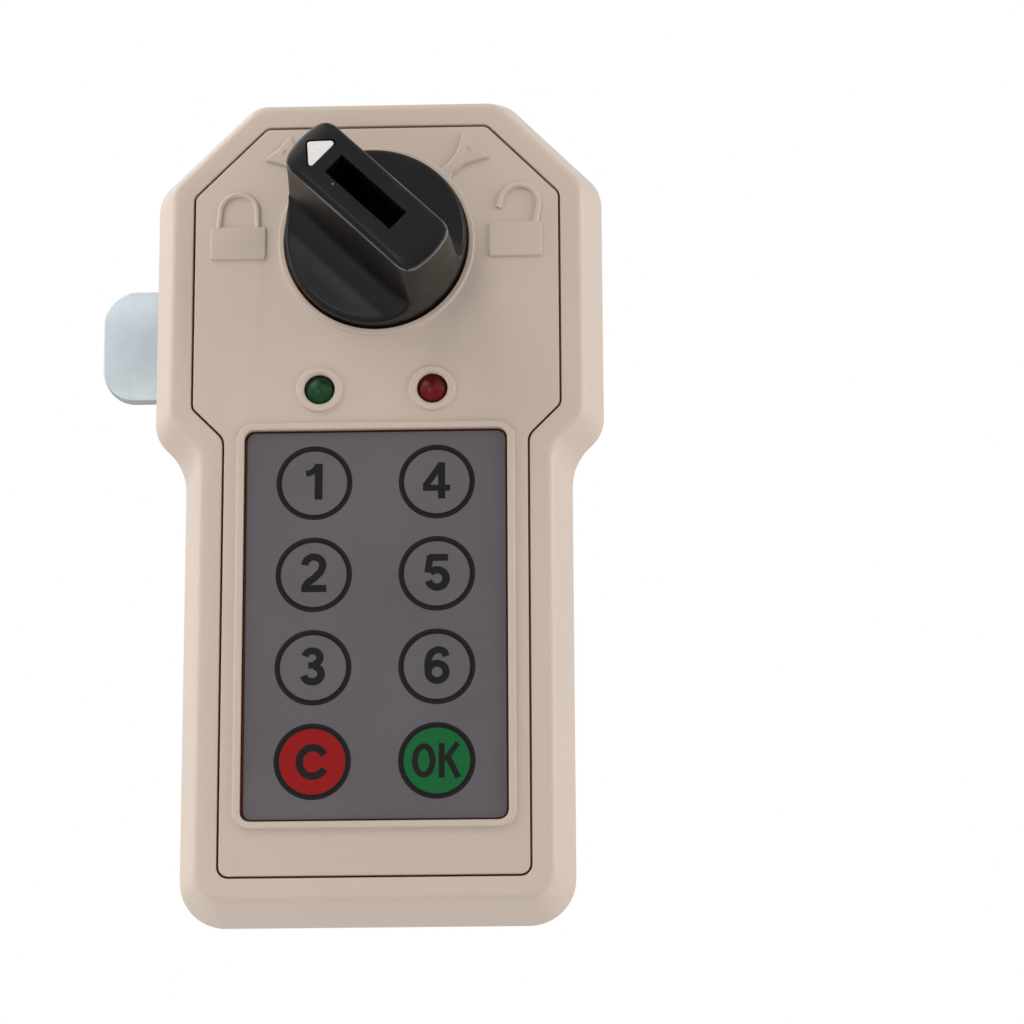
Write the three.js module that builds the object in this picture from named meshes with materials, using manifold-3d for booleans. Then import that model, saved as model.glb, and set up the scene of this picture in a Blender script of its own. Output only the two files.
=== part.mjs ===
// Electronic cabinet lock with keypad, turning knob and rear cam.
// Millimetres. +X right, +Y back into the cabinet, +Z up; the front faces -Y.
// Origin: centre of the door cut-out, on the door's front face, where the flange seats.
import * as THREE from "three";
import { mergeVertices } from "three/addons/utils/BufferGeometryUtils.js";
import Module from "manifold-3d";

// General clearances
const fit = 0.3; // between pieces that touch or are cut to each other
const weld = 0.001; // vertices closer than this are one
const overrun = 1; // how far a cutter passes the surface it cuts
const embed = 0.3; // how far a joined feature reaches into its wall

// Outline of the gap line between frame and panel, which every shell follows
const panelTop = 57.4;
const upperHalf = 27.6; // half width at the knob
const lowerHalf = 22.8; // half width at the keys
const topChamfer = 10.9;
const waistTopZ = 13.3; // where the 45 degree waist starts
const cornerRound = 1.6;
const cornerGrowthShare = 0.65; // how fast a corner softens outwards
const hollowRound = 2.2; // the waist's hollow corner
const hollowGrowthShare = 1;

// Frame section
const faceY = -8.2; // front of frame and panel
const gapLine = 0.3;
const bezelFlat = 2.6; // flat band beside the gap
const bezelRound = 1.3; // edge rounding
const flangeReach = 6.4; // gap line to the outer edge at the door
const flangeWall = 2.2;
const draftInset = 1.3; // the wall's inside leans in by this much
const ledgeDepth = 1.4;
const ledgeReach = 1.6; // inwards from the gap line
const doorBossRadius = 2;
const doorPilotRadius = 0.9;
const doorBossOffset = 1.75; // outwards from the gap line
const doorBossUpperZ = 32;
const doorBossLowerZ = -44;

// Panel
const panelThick = 2.4;
const ledCollarRise = 0.5;
const ledCollarRadius = 3.5;
const ledX = 8.44;
const ledZ = 15.9;
const ledRadius = 2.1;
const ledRunning = 0.2; // between lamp and panel
const ledRise = 0.6; // dome above the panel
const ledDomeDepth = 0.8; // from the dome's top to its edge
const ledFlangeRadius = 2.9;
const ledFlangeThick = 0.9;

// Key field
const keyRowZ = 1.5; // top row
const keyPitch = 14;
const keyRows = 4;
const keyLastZ = keyRowZ - (keyRows - 1) * keyPitch;
const keyColumnX = 9.1;
const keyRadius = 5.1;
const keyHoleRadius = 5.4;
const keyCapThick = 0.9;
const keyStemRadius = 2.5;
const keyTravel = 0.35;
const fieldSide = 3.2; // gap line to the field's edge
const fieldHalfWidth = lowerHalf - fieldSide;
const fieldAbove = 2.7; // key opening to the field's upper edge
const fieldBelow = 3.45;
const fieldTopZ = keyRowZ + keyHoleRadius + fieldAbove;
const fieldLowZ = keyLastZ - keyHoleRadius - fieldBelow;
const fieldCentreZ = (fieldTopZ + fieldLowZ) / 2;
const fieldHalfHeight = (fieldTopZ - fieldLowZ) / 2;
const fieldCorner = 1.5;
const fieldDepth = 0.7; // pocket below the panel's face
const rimWidth = 1.1;
const rimRise = 0.7;
const overlayThick = 0.4;
const overlaySunk = 0.1; // film lies this far under the panel's face

// Board
const domeSheetThick = 0.3;
const domeRadius = 3;
const domeRise = 0.35;
const boardThick = 1.6;
const boardSide = 6.4; // gap line to the board's edge
const boardHalfWidth = lowerHalf - boardSide;
const boardTopZ = 22.4;
const boardTail = 6.5; // below the last key's centre
const boardBottomZ = keyLastZ - boardTail;
const boardCorner = 1.5;
const boardScrewInset = 2.2;
const boardScrewX = boardHalfWidth - boardScrewInset;
const boardScrewTopZ = 19.5;
const boardScrewBottomZ = keyLastZ + keyPitch / 2;
const boardScrewHeadRadius = 1.7;
const boardScrewHeadThick = 0.8;
const boardScrewRadius = 0.75;
const boardScrewLength = 3.4;
const boardPilotRadius = 1.1;
const boardBossRadius = 1.6;
const chipHalf = 4;
const chipThick = 1;
const chipZ = -12;
const buzzerRadius = 4.4;
const buzzerThick = 2.4;
const buzzerZ = 10.5;
const buzzerBore = 0.8;

// Knob
const knobZ = 39.1;
const knobRestDeg = 136.5; // the pointer's direction at rest, from +X towards +Z
const knobRadius = 13.65;
const knobDraft = 0.25; // lost in radius at the grip's top
const knobRunning = 0.3; // between skirt and panel
const knobCollarWidth = 0.9;
const knobCollarRise = 0.55;
const knobPocketDepth = 1.3;
const knobHeight = 21.3; // grip above the panel's face
const gripHalfWidth = 4.8; // at the top
const gripDraft = 0.25; // gained in half width at the foot
const gripCorner = 2.4; // seen from the front, at the top
const gripFootCorner = 0.5;
const crownDrop = 1; // the grip's rim lies this far under its top
const crownInset = 1.3;
const floorHeight = 3.2; // of the hollows on both sides of the grip
const coveRadius = 4; // where the hollow turns up into the grip
const skirtRound = 0.9;
const knobQuarterDegrees = [0, 6, 11, 15, 18, 20.5, 23, 27, 33, 42, 55, 72, 90];
const slotHalfLength = 6.5;
const slotShift = 0.45; // from the axis towards the pointer
const slotHalfWidth = 1.77;
const pointerBase = 9; // axis to the flat side of the white triangle
const pointerLength = 3.4;
const pointerHalfWidth = 2.85;
const pointerCorner = 0.45;
const pointerDepth = 0.8;
const hubRadius = 7.3;
const hubEndY = -1;
const plugRadius = 5.7;
const plugTopHeight = 2.4; // plug face above the panel's face
const plugKeyHalfLength = 4.2;
const plugKeyHalfWidth = 1.2;
const plugKeyDepth = 8;

// Lock cylinder, the fixed bearing behind the panel
const noseRadius = 8.7;
const cylinderRadius = 9.5;
const cylinderBackY = 16;
const cylinderFlangeThick = 1.8;
const cylinderFlangeRadius = 12.5;
const earReach = 18.5; // axis to each ear's screw
const earRadius = 3;
const panelBossLength = 3;
const panelBossRadius = 2.5;
const panelPilotRadius = 1.2;
const panelPilotDepth = 3.6;
const earScrewRadius = 0.9;
const earScrewHeadRadius = 2.2;
const earScrewHeadThick = 1.3;
const earScrewLength = 3.4;

// Spindle and what rides on it
const spindleRadius = 5;
const squareHalf = 3.6;
const discRadius = 11;
const discThick = 3.5;
const discFrontY = 20;
const notchHalfWidth = 2.9;
const notchSlack = 1.4; // clear depth beyond the raised plunger
const bushRadius = 7.5;
const bushFlangeRadius = 10;
const bushFlangeThick = 1.4;
const bushBackY = 41.8;
const stopWasherThick = 1.8;
const stopWasherRadius = 5.9;
const stopLugReach = 7.3;
const stopLugHalfWidth = 2;
const stopWallRadius = 6.3; // raised wall on the bush that the lug turns between
const camFrontY = 44.6;
const camThick = 2.3;
const camTip = 48.8; // axis to the cam's end
const camHalfWidth = 9.4;
const camTipCorner = 5.3;
const camHubRadius = 11;
const camWasherRadius = 6.5;
const camWasherThick = 1;
const camScrewHeadRadius = 4.6;
const camScrewHeadThick = 3;
const camScrewRadius = 2.3;
const camScrewLength = 12;

// Rear case
const caseInset = 2.6; // inside the gap line
const caseWall = 1.8;
const caseBackY = 34;
const caseBackThick = 2;
const lipThick = 1.4;
const lipInset = 0.6;
const towerRadius = 2.9;
const towerUpperSide = 9.6; // gap line to the tower's axis
const towerUpperX = upperHalf - towerUpperSide;
const towerUpperZ = 46;
const towerLowerSide = 7.1;
const towerLowerX = lowerHalf - towerLowerSide;
const towerFrontY = 4;
const towerSeatThick = 1.6;
const towerBoreRadius = 2.2;
const postRadius = 2.3;
const postPilotRadius = 1.3;
const postPilotDepth = 7;
const caseScrewRadius = 1;
const caseScrewHeadRadius = 1.85;
const caseScrewHeadThick = 1.4;
const caseScrewLength = 7;

// Battery bay
const cellRadius = 7;
const cellLength = 48.5;
const cellNipRadius = 2.6;
const cellNipLength = 1.4;
const cellX = 7.35;
const cellFrontY = 9.9;
const cellPitchY = 14.5;
const bayFloorY = 1;
const bayFloorThick = 1.4;
const bayTopThick = 1.4;
const contactThick = 0.4;
const cellTopZ = 1.1;
const cellBottomZ = cellTopZ - cellLength;
const bayTopZ = cellTopZ + 2 * (fit + contactThick);
const bayEndSlack = 0.5;
const bayBottomZ = cellBottomZ - fit - contactThick - bayEndSlack;
const contactHalfX = 6;
const contactHalfY = 13;
const leadRadius = 0.6;
const leadX = 11.5;
const leadRiseZ = 3;

// Battery cover
const coverSide = 5.9; // gap line to the cover's edge
const coverHalf = lowerHalf - coverSide;
const windowSide = 1.7; // cover's edge to the window under it
const windowHalf = coverHalf - windowSide;
const coverThick = 1.4;
const coverSeatThick = 1.4;
const coverTopZ = 6.4;
const coverTail = 5.8; // below the bay
const coverBottomZ = bayBottomZ - coverTail;
const coverMargin = 3; // cover to the panel's lower edge
const chinHeight = 6.9; // least panel below the key field's rim
const panelBottom = Math.min(coverBottomZ - coverMargin, fieldLowZ - rimWidth - chinHeight);
const towerLowerZ = cellBottomZ - contactThick - 2 * fit - towerRadius; // just under the contacts
const railDepth = 1.6;
const railLip = 1.3;
const gripRibs = 5;
const gripRibPitch = 2.2;
const gripRibHalfLength = 8;
const gripRibHalfWidth = 0.5;
const gripRibRise = 0.5;

// Solenoid
const solenoidZ = 15.6;
const solenoidHalfX = 8.6;
const solenoidHalfZ = 9.2;
const solenoidFrontY = 13.6;
const solenoidPlate = 1.5;
const coilRadius = 6.6;
const coilBore = 2.8;
const bobbinFlange = 1;
const plungerRadius = 2.4;
const plungerTravel = 2.8;
const plungerGap = 0.6; // rest tip to the locking disc's rim
const notchDepth = plungerTravel - plungerGap + notchSlack;
const springRadius = 2.2;
const springBore = 1.5;
const springLength = 4;

// Faces per full turn
const roundLarge = 40;
const roundMedium = 20;
const roundSmall = 8;

const wasm = await Module();
wasm.setup();

const beige = new THREE.Color(0.47, 0.385, 0.318);
const finishes = {
  housing: finish(beige, 0.55, 0),
  panel: finish(new THREE.Color(0.48, 0.397, 0.328), 0.55, 0),
  film: finish(new THREE.Color(0.112, 0.102, 0.105), 0.5, 0),
  keyGrey: finish(new THREE.Color(0.112, 0.102, 0.105), 0.5, 0),
  keyRed: finish(new THREE.Color(0.42, 0.022, 0.02), 0.45, 0),
  keyGreen: finish(new THREE.Color(0.012, 0.22, 0.055), 0.45, 0),
  black: finish(new THREE.Color(0.024, 0.024, 0.026), 0.38, 0),
  white: finish(new THREE.Color(0.8, 0.79, 0.77), 0.45, 0),
  lampGreen: finish(new THREE.Color(0.02, 0.16, 0.05), 0.15, 0),
  lampRed: finish(new THREE.Color(0.3, 0.012, 0.012), 0.15, 0),
  zinc: finish(new THREE.Color(0.62, 0.66, 0.68), 0.32, 1),
  steel: finish(new THREE.Color(0.55, 0.55, 0.56), 0.3, 1),
  brass: finish(new THREE.Color(0.72, 0.55, 0.28), 0.35, 1),
  board: finish(new THREE.Color(0.02, 0.15, 0.06), 0.6, 0),
  chip: finish(new THREE.Color(0.03, 0.03, 0.03), 0.6, 0),
  copper: finish(new THREE.Color(0.7, 0.32, 0.18), 0.4, 1),
  cell: finish(new THREE.Color(0.08, 0.1, 0.13), 0.35, 0),
};

function finish(color, roughness, metalness) {
  return new THREE.MeshStandardMaterial({ color, roughness, metalness });
}

// A closed three.js geometry as a solid that can be joined and cut.
function solidFrom(geometry) {
  const source = geometry.index ? geometry.toNonIndexed() : geometry;
  const bare = new THREE.BufferGeometry();
  bare.setAttribute("position", source.getAttribute("position"));
  const merged = mergeVertices(bare, weld);
  const triangles = [];
  for (let i = 0; i < merged.index.count; i += 3) {
    const [a, b, c] = merged.index.array.slice(i, i + 3);
    if (a !== b && b !== c && c !== a) triangles.push(a, b, c);
  }
  return new wasm.Manifold(
    new wasm.Mesh({
      numProp: 3,
      vertProperties: merged.attributes.position.array,
      triVerts: new Uint32Array(triangles),
    }),
  );
}

function meshFrom(name, solid, material) {
  const made = solid.getMesh();
  const geometry = new THREE.BufferGeometry();
  geometry.setAttribute("position", new THREE.BufferAttribute(made.vertProperties, 3));
  geometry.setIndex(new THREE.BufferAttribute(made.triVerts, 1));
  geometry.computeVertexNormals();
  const mesh = new THREE.Mesh(geometry, material);
  mesh.name = name;
  return mesh;
}

// Points of an arc about (x, z), from one angle to another in steps.
function arcPoints(x, z, radius, from, to, steps) {
  return Array.from({ length: steps + 1 }, (_, i) => {
    const angle = from + ((to - from) * i) / steps;
    return new THREE.Vector2(x + radius * Math.cos(angle), z + radius * Math.sin(angle));
  });
}

function circlePoints(x, z, radius, faces) {
  return arcPoints(x, z, radius, 0, 2 * Math.PI, faces).slice(0, faces);
}

function roundedRectPoints(x, z, halfWidth, halfHeight, radius, steps) {
  const quarter = Math.PI / 2;
  const corners = [
    [1, -1, -quarter],
    [1, 1, 0],
    [-1, 1, quarter],
    [-1, -1, Math.PI],
  ];
  return corners.flatMap(([sideX, sideZ, start]) =>
    arcPoints(
      x + sideX * (halfWidth - radius),
      z + sideZ * (halfHeight - radius),
      radius,
      start,
      start + quarter,
      steps,
    ),
  );
}

function boxPoints(left, right, low, high) {
  return [
    new THREE.Vector2(left, low),
    new THREE.Vector2(right, low),
    new THREE.Vector2(right, high),
    new THREE.Vector2(left, high),
  ];
}

// An outline drawn in X and Z, carried through the depth between two Y values.
function slab(points, frontY, backY, holes = []) {
  const shape = new THREE.Shape(points);
  shape.holes = holes.map((hole) => new THREE.Path(hole));
  const geometry = new THREE.ExtrudeGeometry(shape, {
    depth: backY - frontY,
    bevelEnabled: false,
    curveSegments: 1,
  });
  geometry.rotateX(Math.PI / 2);
  geometry.translate(0, backY, 0);
  return solidFrom(geometry);
}

// An outline drawn in X and Y, carried up between two Z values.
function column(points, lowZ, highZ) {
  const shape = new THREE.Shape(points);
  const geometry = new THREE.ExtrudeGeometry(shape, {
    depth: highZ - lowZ,
    bevelEnabled: false,
    curveSegments: 1,
  });
  geometry.translate(0, 0, lowZ);
  return solidFrom(geometry);
}

// A profile of [radius, y] pairs turned about an axis parallel to Y.
function turned(profile, x, z, faces) {
  const points = profile.map(([radius, y]) => new THREE.Vector2(radius, y));
  const geometry = new THREE.LatheGeometry(points, faces);
  geometry.translate(x, 0, z);
  return solidFrom(geometry);
}

function disc(radius, frontY, backY, x, z, faces) {
  return turned(
    [
      [0, frontY],
      [radius, frontY],
      [radius, backY],
      [0, backY],
    ],
    x,
    z,
    faces,
  );
}

function tube(outer, inner, frontY, backY, x, z, faces) {
  return turned(
    [
      [inner, frontY],
      [outer, frontY],
      [outer, backY],
      [inner, backY],
      [inner, frontY],
    ],
    x,
    z,
    faces,
  );
}

// A screw along Y, its domed head at the back.
function screw(x, z, seatY, headRadius, headThick, shankRadius, length) {
  const crown = headThick / 3;
  return turned(
    [
      [0, seatY - length],
      [shankRadius / 2, seatY - length],
      [shankRadius, seatY - length + shankRadius],
      [shankRadius, seatY],
      [headRadius, seatY],
      [headRadius, seatY + headThick - crown],
      [headRadius - crown, seatY + headThick],
      [0, seatY + headThick],
    ],
    x,
    z,
    roundSmall,
  );
}

// Rows of equal point count skinned to one surface that closes on itself both ways.
function skin(rows) {
  const vertices = [];
  const triangle = (a, b, c) => vertices.push(...a, ...b, ...c);
  rows.forEach((row, i) => {
    const next = rows[(i + 1) % rows.length];
    row.forEach((point, j) => {
      const k = (j + 1) % row.length;
      triangle(point, next[j], next[k]);
      triangle(point, next[k], row[k]);
    });
  });
  const geometry = new THREE.BufferGeometry();
  geometry.setAttribute("position", new THREE.Float32BufferAttribute(vertices, 3));
  return solidFrom(geometry);
}

// Corners moved outwards by an offset and rounded, with as many points at every offset.
function offsetRounded(corners, offset, radiusOf, stepsOf) {
  return corners.flatMap((corner, i) => {
    const before = corners[(i + corners.length - 1) % corners.length];
    const after = corners[(i + 1) % corners.length];
    const into = corner.clone().sub(before).normalize();
    const out = after.clone().sub(corner).normalize();
    const normalIn = new THREE.Vector2(into.y, -into.x);
    const normalOut = new THREE.Vector2(out.y, -out.x);
    const turn = Math.atan2(into.cross(out), into.dot(out));
    const bisector = normalIn.clone().add(normalOut);
    const mitre = bisector.divideScalar(1 + normalIn.dot(normalOut));
    const tip = corner.clone().addScaledVector(mitre, offset);
    const hollow = turn < 0;
    const radius = radiusOf(hollow);
    const start = tip.clone().addScaledVector(into, -radius * Math.tan(Math.abs(turn) / 2));
    const centre = start.clone().addScaledVector(normalIn, hollow ? radius : -radius);
    const first = Math.atan2(start.y - centre.y, start.x - centre.x);
    return arcPoints(centre.x, centre.y, radius, first, first + turn, stepsOf(turn));
  });
}

// The gap line moved outwards by an offset. Its corners soften outwards at shares of their own.
function outline(offset) {
  const waistBottom = waistTopZ - (upperHalf - lowerHalf);
  const right = [
    [lowerHalf, panelBottom],
    [lowerHalf, waistBottom],
    [upperHalf, waistTopZ],
    [upperHalf, panelTop - topChamfer],
    [upperHalf - topChamfer, panelTop],
  ].map(([x, z]) => new THREE.Vector2(x, z));
  const left = right.map((p) => new THREE.Vector2(-p.x, p.y)).reverse();
  const outside = offset > 0;
  const hollow = hollowRound + (outside ? hollowGrowthShare * offset : -offset);
  const convex = cornerRound + (outside ? cornerGrowthShare * offset : offset);
  return offsetRounded(
    [...right, ...left],
    offset,
    (isHollow) => (isHollow ? hollow : Math.max(convex, fit)),
    (turn) => (Math.abs(turn) > 1 ? 6 : 3),
  );
}

function outlineSlab(offset, frontY, backY) {
  return slab(outline(offset), frontY, backY);
}

// Outer faces of the frame, panel and ledge, worked out once for what seats on them
const panelBackY = faceY + panelThick;
const ledgeFrontY = panelBackY + fit;
const ledgeBackY = ledgeFrontY + ledgeDepth;
const lipFrontY = ledgeBackY + fit;
const lipBackY = lipFrontY + lipThick;

// Frame: one section carried round the outline, then the door-screw bosses.
function frontHousing() {
  const roundCentreY = faceY + bezelRound;
  const wallLean = Math.atan2(flangeReach - bezelFlat - bezelRound, -roundCentreY);
  const roundArc = [0, 1, 2, 3].map((i) => {
    const angle = ((Math.PI / 2 - wallLean) * i) / 3;
    return [bezelFlat + bezelRound * Math.sin(angle), roundCentreY - bezelRound * Math.cos(angle)];
  });
  const innerWall = flangeReach - flangeWall;
  const section = [
    [gapLine / 2, faceY],
    ...roundArc,
    [flangeReach, 0],
    [innerWall, 0],
    [innerWall - draftInset, ledgeBackY],
    [-ledgeReach, ledgeBackY],
    [-ledgeReach, ledgeFrontY],
    [gapLine / 2, ledgeFrontY],
  ];
  const rows = section.map(([offset, y]) => outline(offset).map((p) => [p.x, y, p.y]));
  let solid = skin(rows);
  const places = [
    [upperHalf + doorBossOffset, doorBossUpperZ],
    [lowerHalf + doorBossOffset, doorBossLowerZ],
  ];
  for (const [x, z] of places) {
    for (const side of [-1, 1]) {
      const boss = disc(doorBossRadius, ledgeBackY - embed, 0, side * x, z, roundSmall);
      const pilot = disc(doorPilotRadius, ledgeBackY, overrun, side * x, z, roundSmall);
      solid = solid.add(boss).subtract(pilot);
    }
  }
  return solid;
}

const keyPlaces = [
  ["key_1", -1, 0, "keyGrey"],
  ["key_2", -1, 1, "keyGrey"],
  ["key_3", -1, 2, "keyGrey"],
  ["key_clear", -1, 3, "keyRed"],
  ["key_4", 1, 0, "keyGrey"],
  ["key_5", 1, 1, "keyGrey"],
  ["key_6", 1, 2, "keyGrey"],
  ["key_ok", 1, 3, "keyGreen"],
].map(([name, side, row, look]) => ({
  name,
  x: side * keyColumnX,
  z: keyRowZ - row * keyPitch,
  look,
}));

const towerPlaces = [
  [-towerUpperX, towerUpperZ],
  [towerUpperX, towerUpperZ],
  [-towerLowerX, towerLowerZ],
  [towerLowerX, towerLowerZ],
];

const boardScrewPlaces = [
  [-boardScrewX, boardScrewTopZ],
  [boardScrewX, boardScrewTopZ],
  [-boardScrewX, boardScrewBottomZ],
  [boardScrewX, boardScrewBottomZ],
];

// Levels of the key field and board, front to back
const overlayFrontY = faceY + overlaySunk;
const overlayBackY = overlayFrontY + overlayThick;
const keyFrontY = overlayFrontY;
const domeTopY = panelBackY + keyTravel + fit;
const domeSheetY = domeTopY + domeRise;
const boardFrontY = domeSheetY + domeSheetThick + fit;
const boardBackY = boardFrontY + boardThick;
const pocketFloorY = faceY + knobPocketDepth;
const keyStemEndY = panelBackY + fit / 2;
const postEndY = towerFrontY - fit;

// A ring with a sloped outer shoulder that stands on the panel's face.
function collar(inner, outer, rise, x, z, faces) {
  const soft = Math.min(rise, (outer - inner) / 3);
  return turned(
    [
      [inner, faceY + embed],
      [inner, faceY - rise],
      [outer - soft, faceY - rise],
      [outer, faceY - rise / 2],
      [outer, faceY + embed],
      [inner, faceY + embed],
    ],
    x,
    z,
    faces,
  );
}

function frontPanel() {
  let solid = outlineSlab(-gapLine / 2, faceY, panelBackY);
  const rimOuter = roundedRectPoints(
    0,
    fieldCentreZ,
    fieldHalfWidth + rimWidth,
    fieldHalfHeight + rimWidth,
    fieldCorner + rimWidth,
    4,
  );
  const rimInner = roundedRectPoints(0, fieldCentreZ, fieldHalfWidth, fieldHalfHeight, fieldCorner, 4);
  solid = solid.add(slab(rimOuter, faceY - rimRise, faceY + embed));
  solid = solid.subtract(slab(rimInner, faceY - rimRise - overrun, faceY + fieldDepth));
  const pocketRadius = knobRadius + knobRunning;
  solid = solid.add(
    collar(pocketRadius, pocketRadius + knobCollarWidth, knobCollarRise, 0, knobZ, roundLarge),
  );
  solid = solid.subtract(disc(pocketRadius, faceY - overrun, pocketFloorY, 0, knobZ, roundLarge));
  for (const side of [-1, 1]) {
    const x = side * ledX;
    const hole = ledRadius + ledRunning;
    solid = solid.add(collar(hole, ledCollarRadius, ledCollarRise, x, ledZ, roundMedium));
    solid = solid.subtract(disc(hole, faceY - overrun, panelBackY + overrun, x, ledZ, roundMedium));
    const earX = side * earReach;
    const bossEnd = panelBackY + panelBossLength;
    const boss = disc(panelBossRadius, panelBackY - embed, bossEnd, earX, knobZ, roundSmall);
    const pilotStart = bossEnd - panelPilotDepth;
    const pilot = disc(panelPilotRadius, pilotStart, bossEnd + overrun, earX, knobZ, roundSmall);
    solid = solid.add(boss).subtract(pilot);
  }
  solid = solid.subtract(
    disc(noseRadius + fit, faceY - overrun, panelBackY + overrun, 0, knobZ, roundMedium),
  );
  for (const { x, z } of keyPlaces) {
    solid = solid.subtract(disc(keyHoleRadius, faceY, panelBackY + overrun, x, z, roundMedium));
  }
  for (const [x, z] of towerPlaces) {
    const post = disc(postRadius, panelBackY - embed, postEndY, x, z, roundSmall);
    const pilot = disc(postPilotRadius, postEndY - postPilotDepth, postEndY + overrun, x, z, roundSmall);
    solid = solid.add(post).subtract(pilot);
  }
  for (const [x, z] of boardScrewPlaces) {
    const boss = disc(boardBossRadius, panelBackY - embed, boardFrontY - fit, x, z, roundSmall);
    const pilot = disc(boardPilotRadius, panelBackY - panelThick / 2, boardFrontY, x, z, roundSmall);
    solid = solid.add(boss).subtract(pilot);
  }
  return solid;
}

function keypadOverlay() {
  const edge = roundedRectPoints(
    0,
    fieldCentreZ,
    fieldHalfWidth - fit,
    fieldHalfHeight - fit,
    fieldCorner - fit,
    4,
  );
  const holes = keyPlaces.map(({ x, z }) => circlePoints(x, z, keyHoleRadius, roundMedium));
  return slab(edge, overlayFrontY, overlayBackY, holes);
}

function keyCap({ x, z }) {
  return turned(
    [
      [0, keyFrontY],
      [keyRadius, keyFrontY],
      [keyRadius, keyFrontY + keyCapThick],
      [keyStemRadius, keyFrontY + keyCapThick],
      [keyStemRadius, keyStemEndY],
      [0, keyStemEndY],
    ],
    x,
    z,
    roundMedium,
  );
}

// Sheet of metal domes, one under each key, held in a carrier film.
function domeSheet() {
  const edgeX = boardScrewX - boardBossRadius - fit;
  const topZ = keyRowZ + keyRadius + fit;
  const bottomZ = keyLastZ - keyRadius - fit;
  let solid = slab(
    boxPoints(-edgeX, edgeX, bottomZ, topZ),
    domeSheetY,
    domeSheetY + domeSheetThick,
  );
  for (const { x, z } of keyPlaces) {
    const dome = turned(
      [
        [0, domeTopY],
        [domeRadius / 2, domeTopY + domeRise / 5],
        [domeRadius, domeSheetY],
        [domeRadius, domeSheetY + domeSheetThick / 2],
        [0, domeSheetY + domeSheetThick / 2],
      ],
      x,
      z,
      roundSmall,
    );
    solid = solid.add(dome);
  }
  return solid;
}

function mainBoard() {
  const centreZ = (boardTopZ + boardBottomZ) / 2;
  const edge = roundedRectPoints(
    0,
    centreZ,
    boardHalfWidth,
    (boardTopZ - boardBottomZ) / 2,
    boardCorner,
    3,
  );
  const holes = boardScrewPlaces.map(([x, z]) =>
    circlePoints(x, z, boardScrewRadius + fit, roundSmall),
  );
  return slab(edge, boardFrontY, boardBackY, holes);
}

function controllerChip() {
  const front = boardBackY + fit;
  const legs = chipHalf + chipHalf / 4;
  const body = boxPoints(-chipHalf, chipHalf, chipZ - chipHalf, chipZ + chipHalf);
  const count = 6;
  const pitch = (2 * chipHalf) / (count + 1);
  const legHalf = pitch / 5;
  let solid = slab(body, front, front + chipThick);
  for (let i = 1; i <= count; i += 1) {
    const z = chipZ - chipHalf + i * pitch;
    const leg = boxPoints(-legs, legs, z - legHalf, z + legHalf);
    solid = solid.add(slab(leg, front, front + chipThick / 4));
  }
  return solid;
}

function buzzer() {
  const front = boardBackY + fit;
  return turned(
    [
      [0, front],
      [buzzerRadius, front],
      [buzzerRadius, front + buzzerThick],
      [buzzerBore, front + buzzerThick],
      [buzzerBore, front + buzzerThick / 2],
      [0, front + buzzerThick / 2],
    ],
    0,
    buzzerZ,
    roundMedium,
  );
}

function lamp(side) {
  const dome = 3;
  const tip = faceY - ledRise;
  const crown = Array.from({ length: dome + 1 }, (_, i) => {
    const angle = (i / dome) * (Math.PI / 2);
    return [ledRadius * Math.sin(angle), tip + ledDomeDepth * (1 - Math.cos(angle))];
  });
  const flangeY = panelBackY + fit;
  return turned(
    [
      ...crown,
      [ledRadius, flangeY],
      [ledFlangeRadius, flangeY],
      [ledFlangeRadius, flangeY + ledFlangeThick],
      [0, flangeY + ledFlangeThick],
    ],
    side * ledX,
    ledZ,
    roundMedium,
  );
}

// Direction of a point given along and across the grip, turned to the knob's rest angle.
function turnPoint(along, across) {
  const angle = THREE.MathUtils.degToRad(knobRestDeg);
  const x = along * Math.cos(angle) - across * Math.sin(angle);
  const z = along * Math.sin(angle) + across * Math.cos(angle);
  return new THREE.Vector2(x, knobZ + z);
}

// Distance from the axis to the grip's outline in one direction. Its ends follow a circle.
function gripReach(angle, halfWidth, end, corner) {
  const along = Math.abs(Math.cos(angle));
  const across = Math.abs(Math.sin(angle));
  const cornerZ = halfWidth - corner;
  const cornerX = Math.sqrt((end - corner) ** 2 - cornerZ ** 2);
  const dot = along * cornerX + across * cornerZ;
  const rest = dot * dot - (cornerX * cornerX + cornerZ * cornerZ - corner * corner);
  const toCorner = rest > 0 ? dot + Math.sqrt(rest) : 0;
  const atCorner = along * toCorner > cornerX && across * cornerX > along * cornerZ;
  return atCorner ? toCorner : Math.min(end, halfWidth / Math.max(across, weld));
}

// Height of the hollow beside the grip: a floor that turns up into the grip in a cove.
function hollowHeight(across) {
  const rise = gripHalfWidth + gripDraft + coveRadius - Math.abs(across);
  const u = Math.min(Math.max(rise, 0), coveRadius);
  return floorHeight + coveRadius - Math.sqrt(coveRadius * coveRadius - u * u);
}

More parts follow.
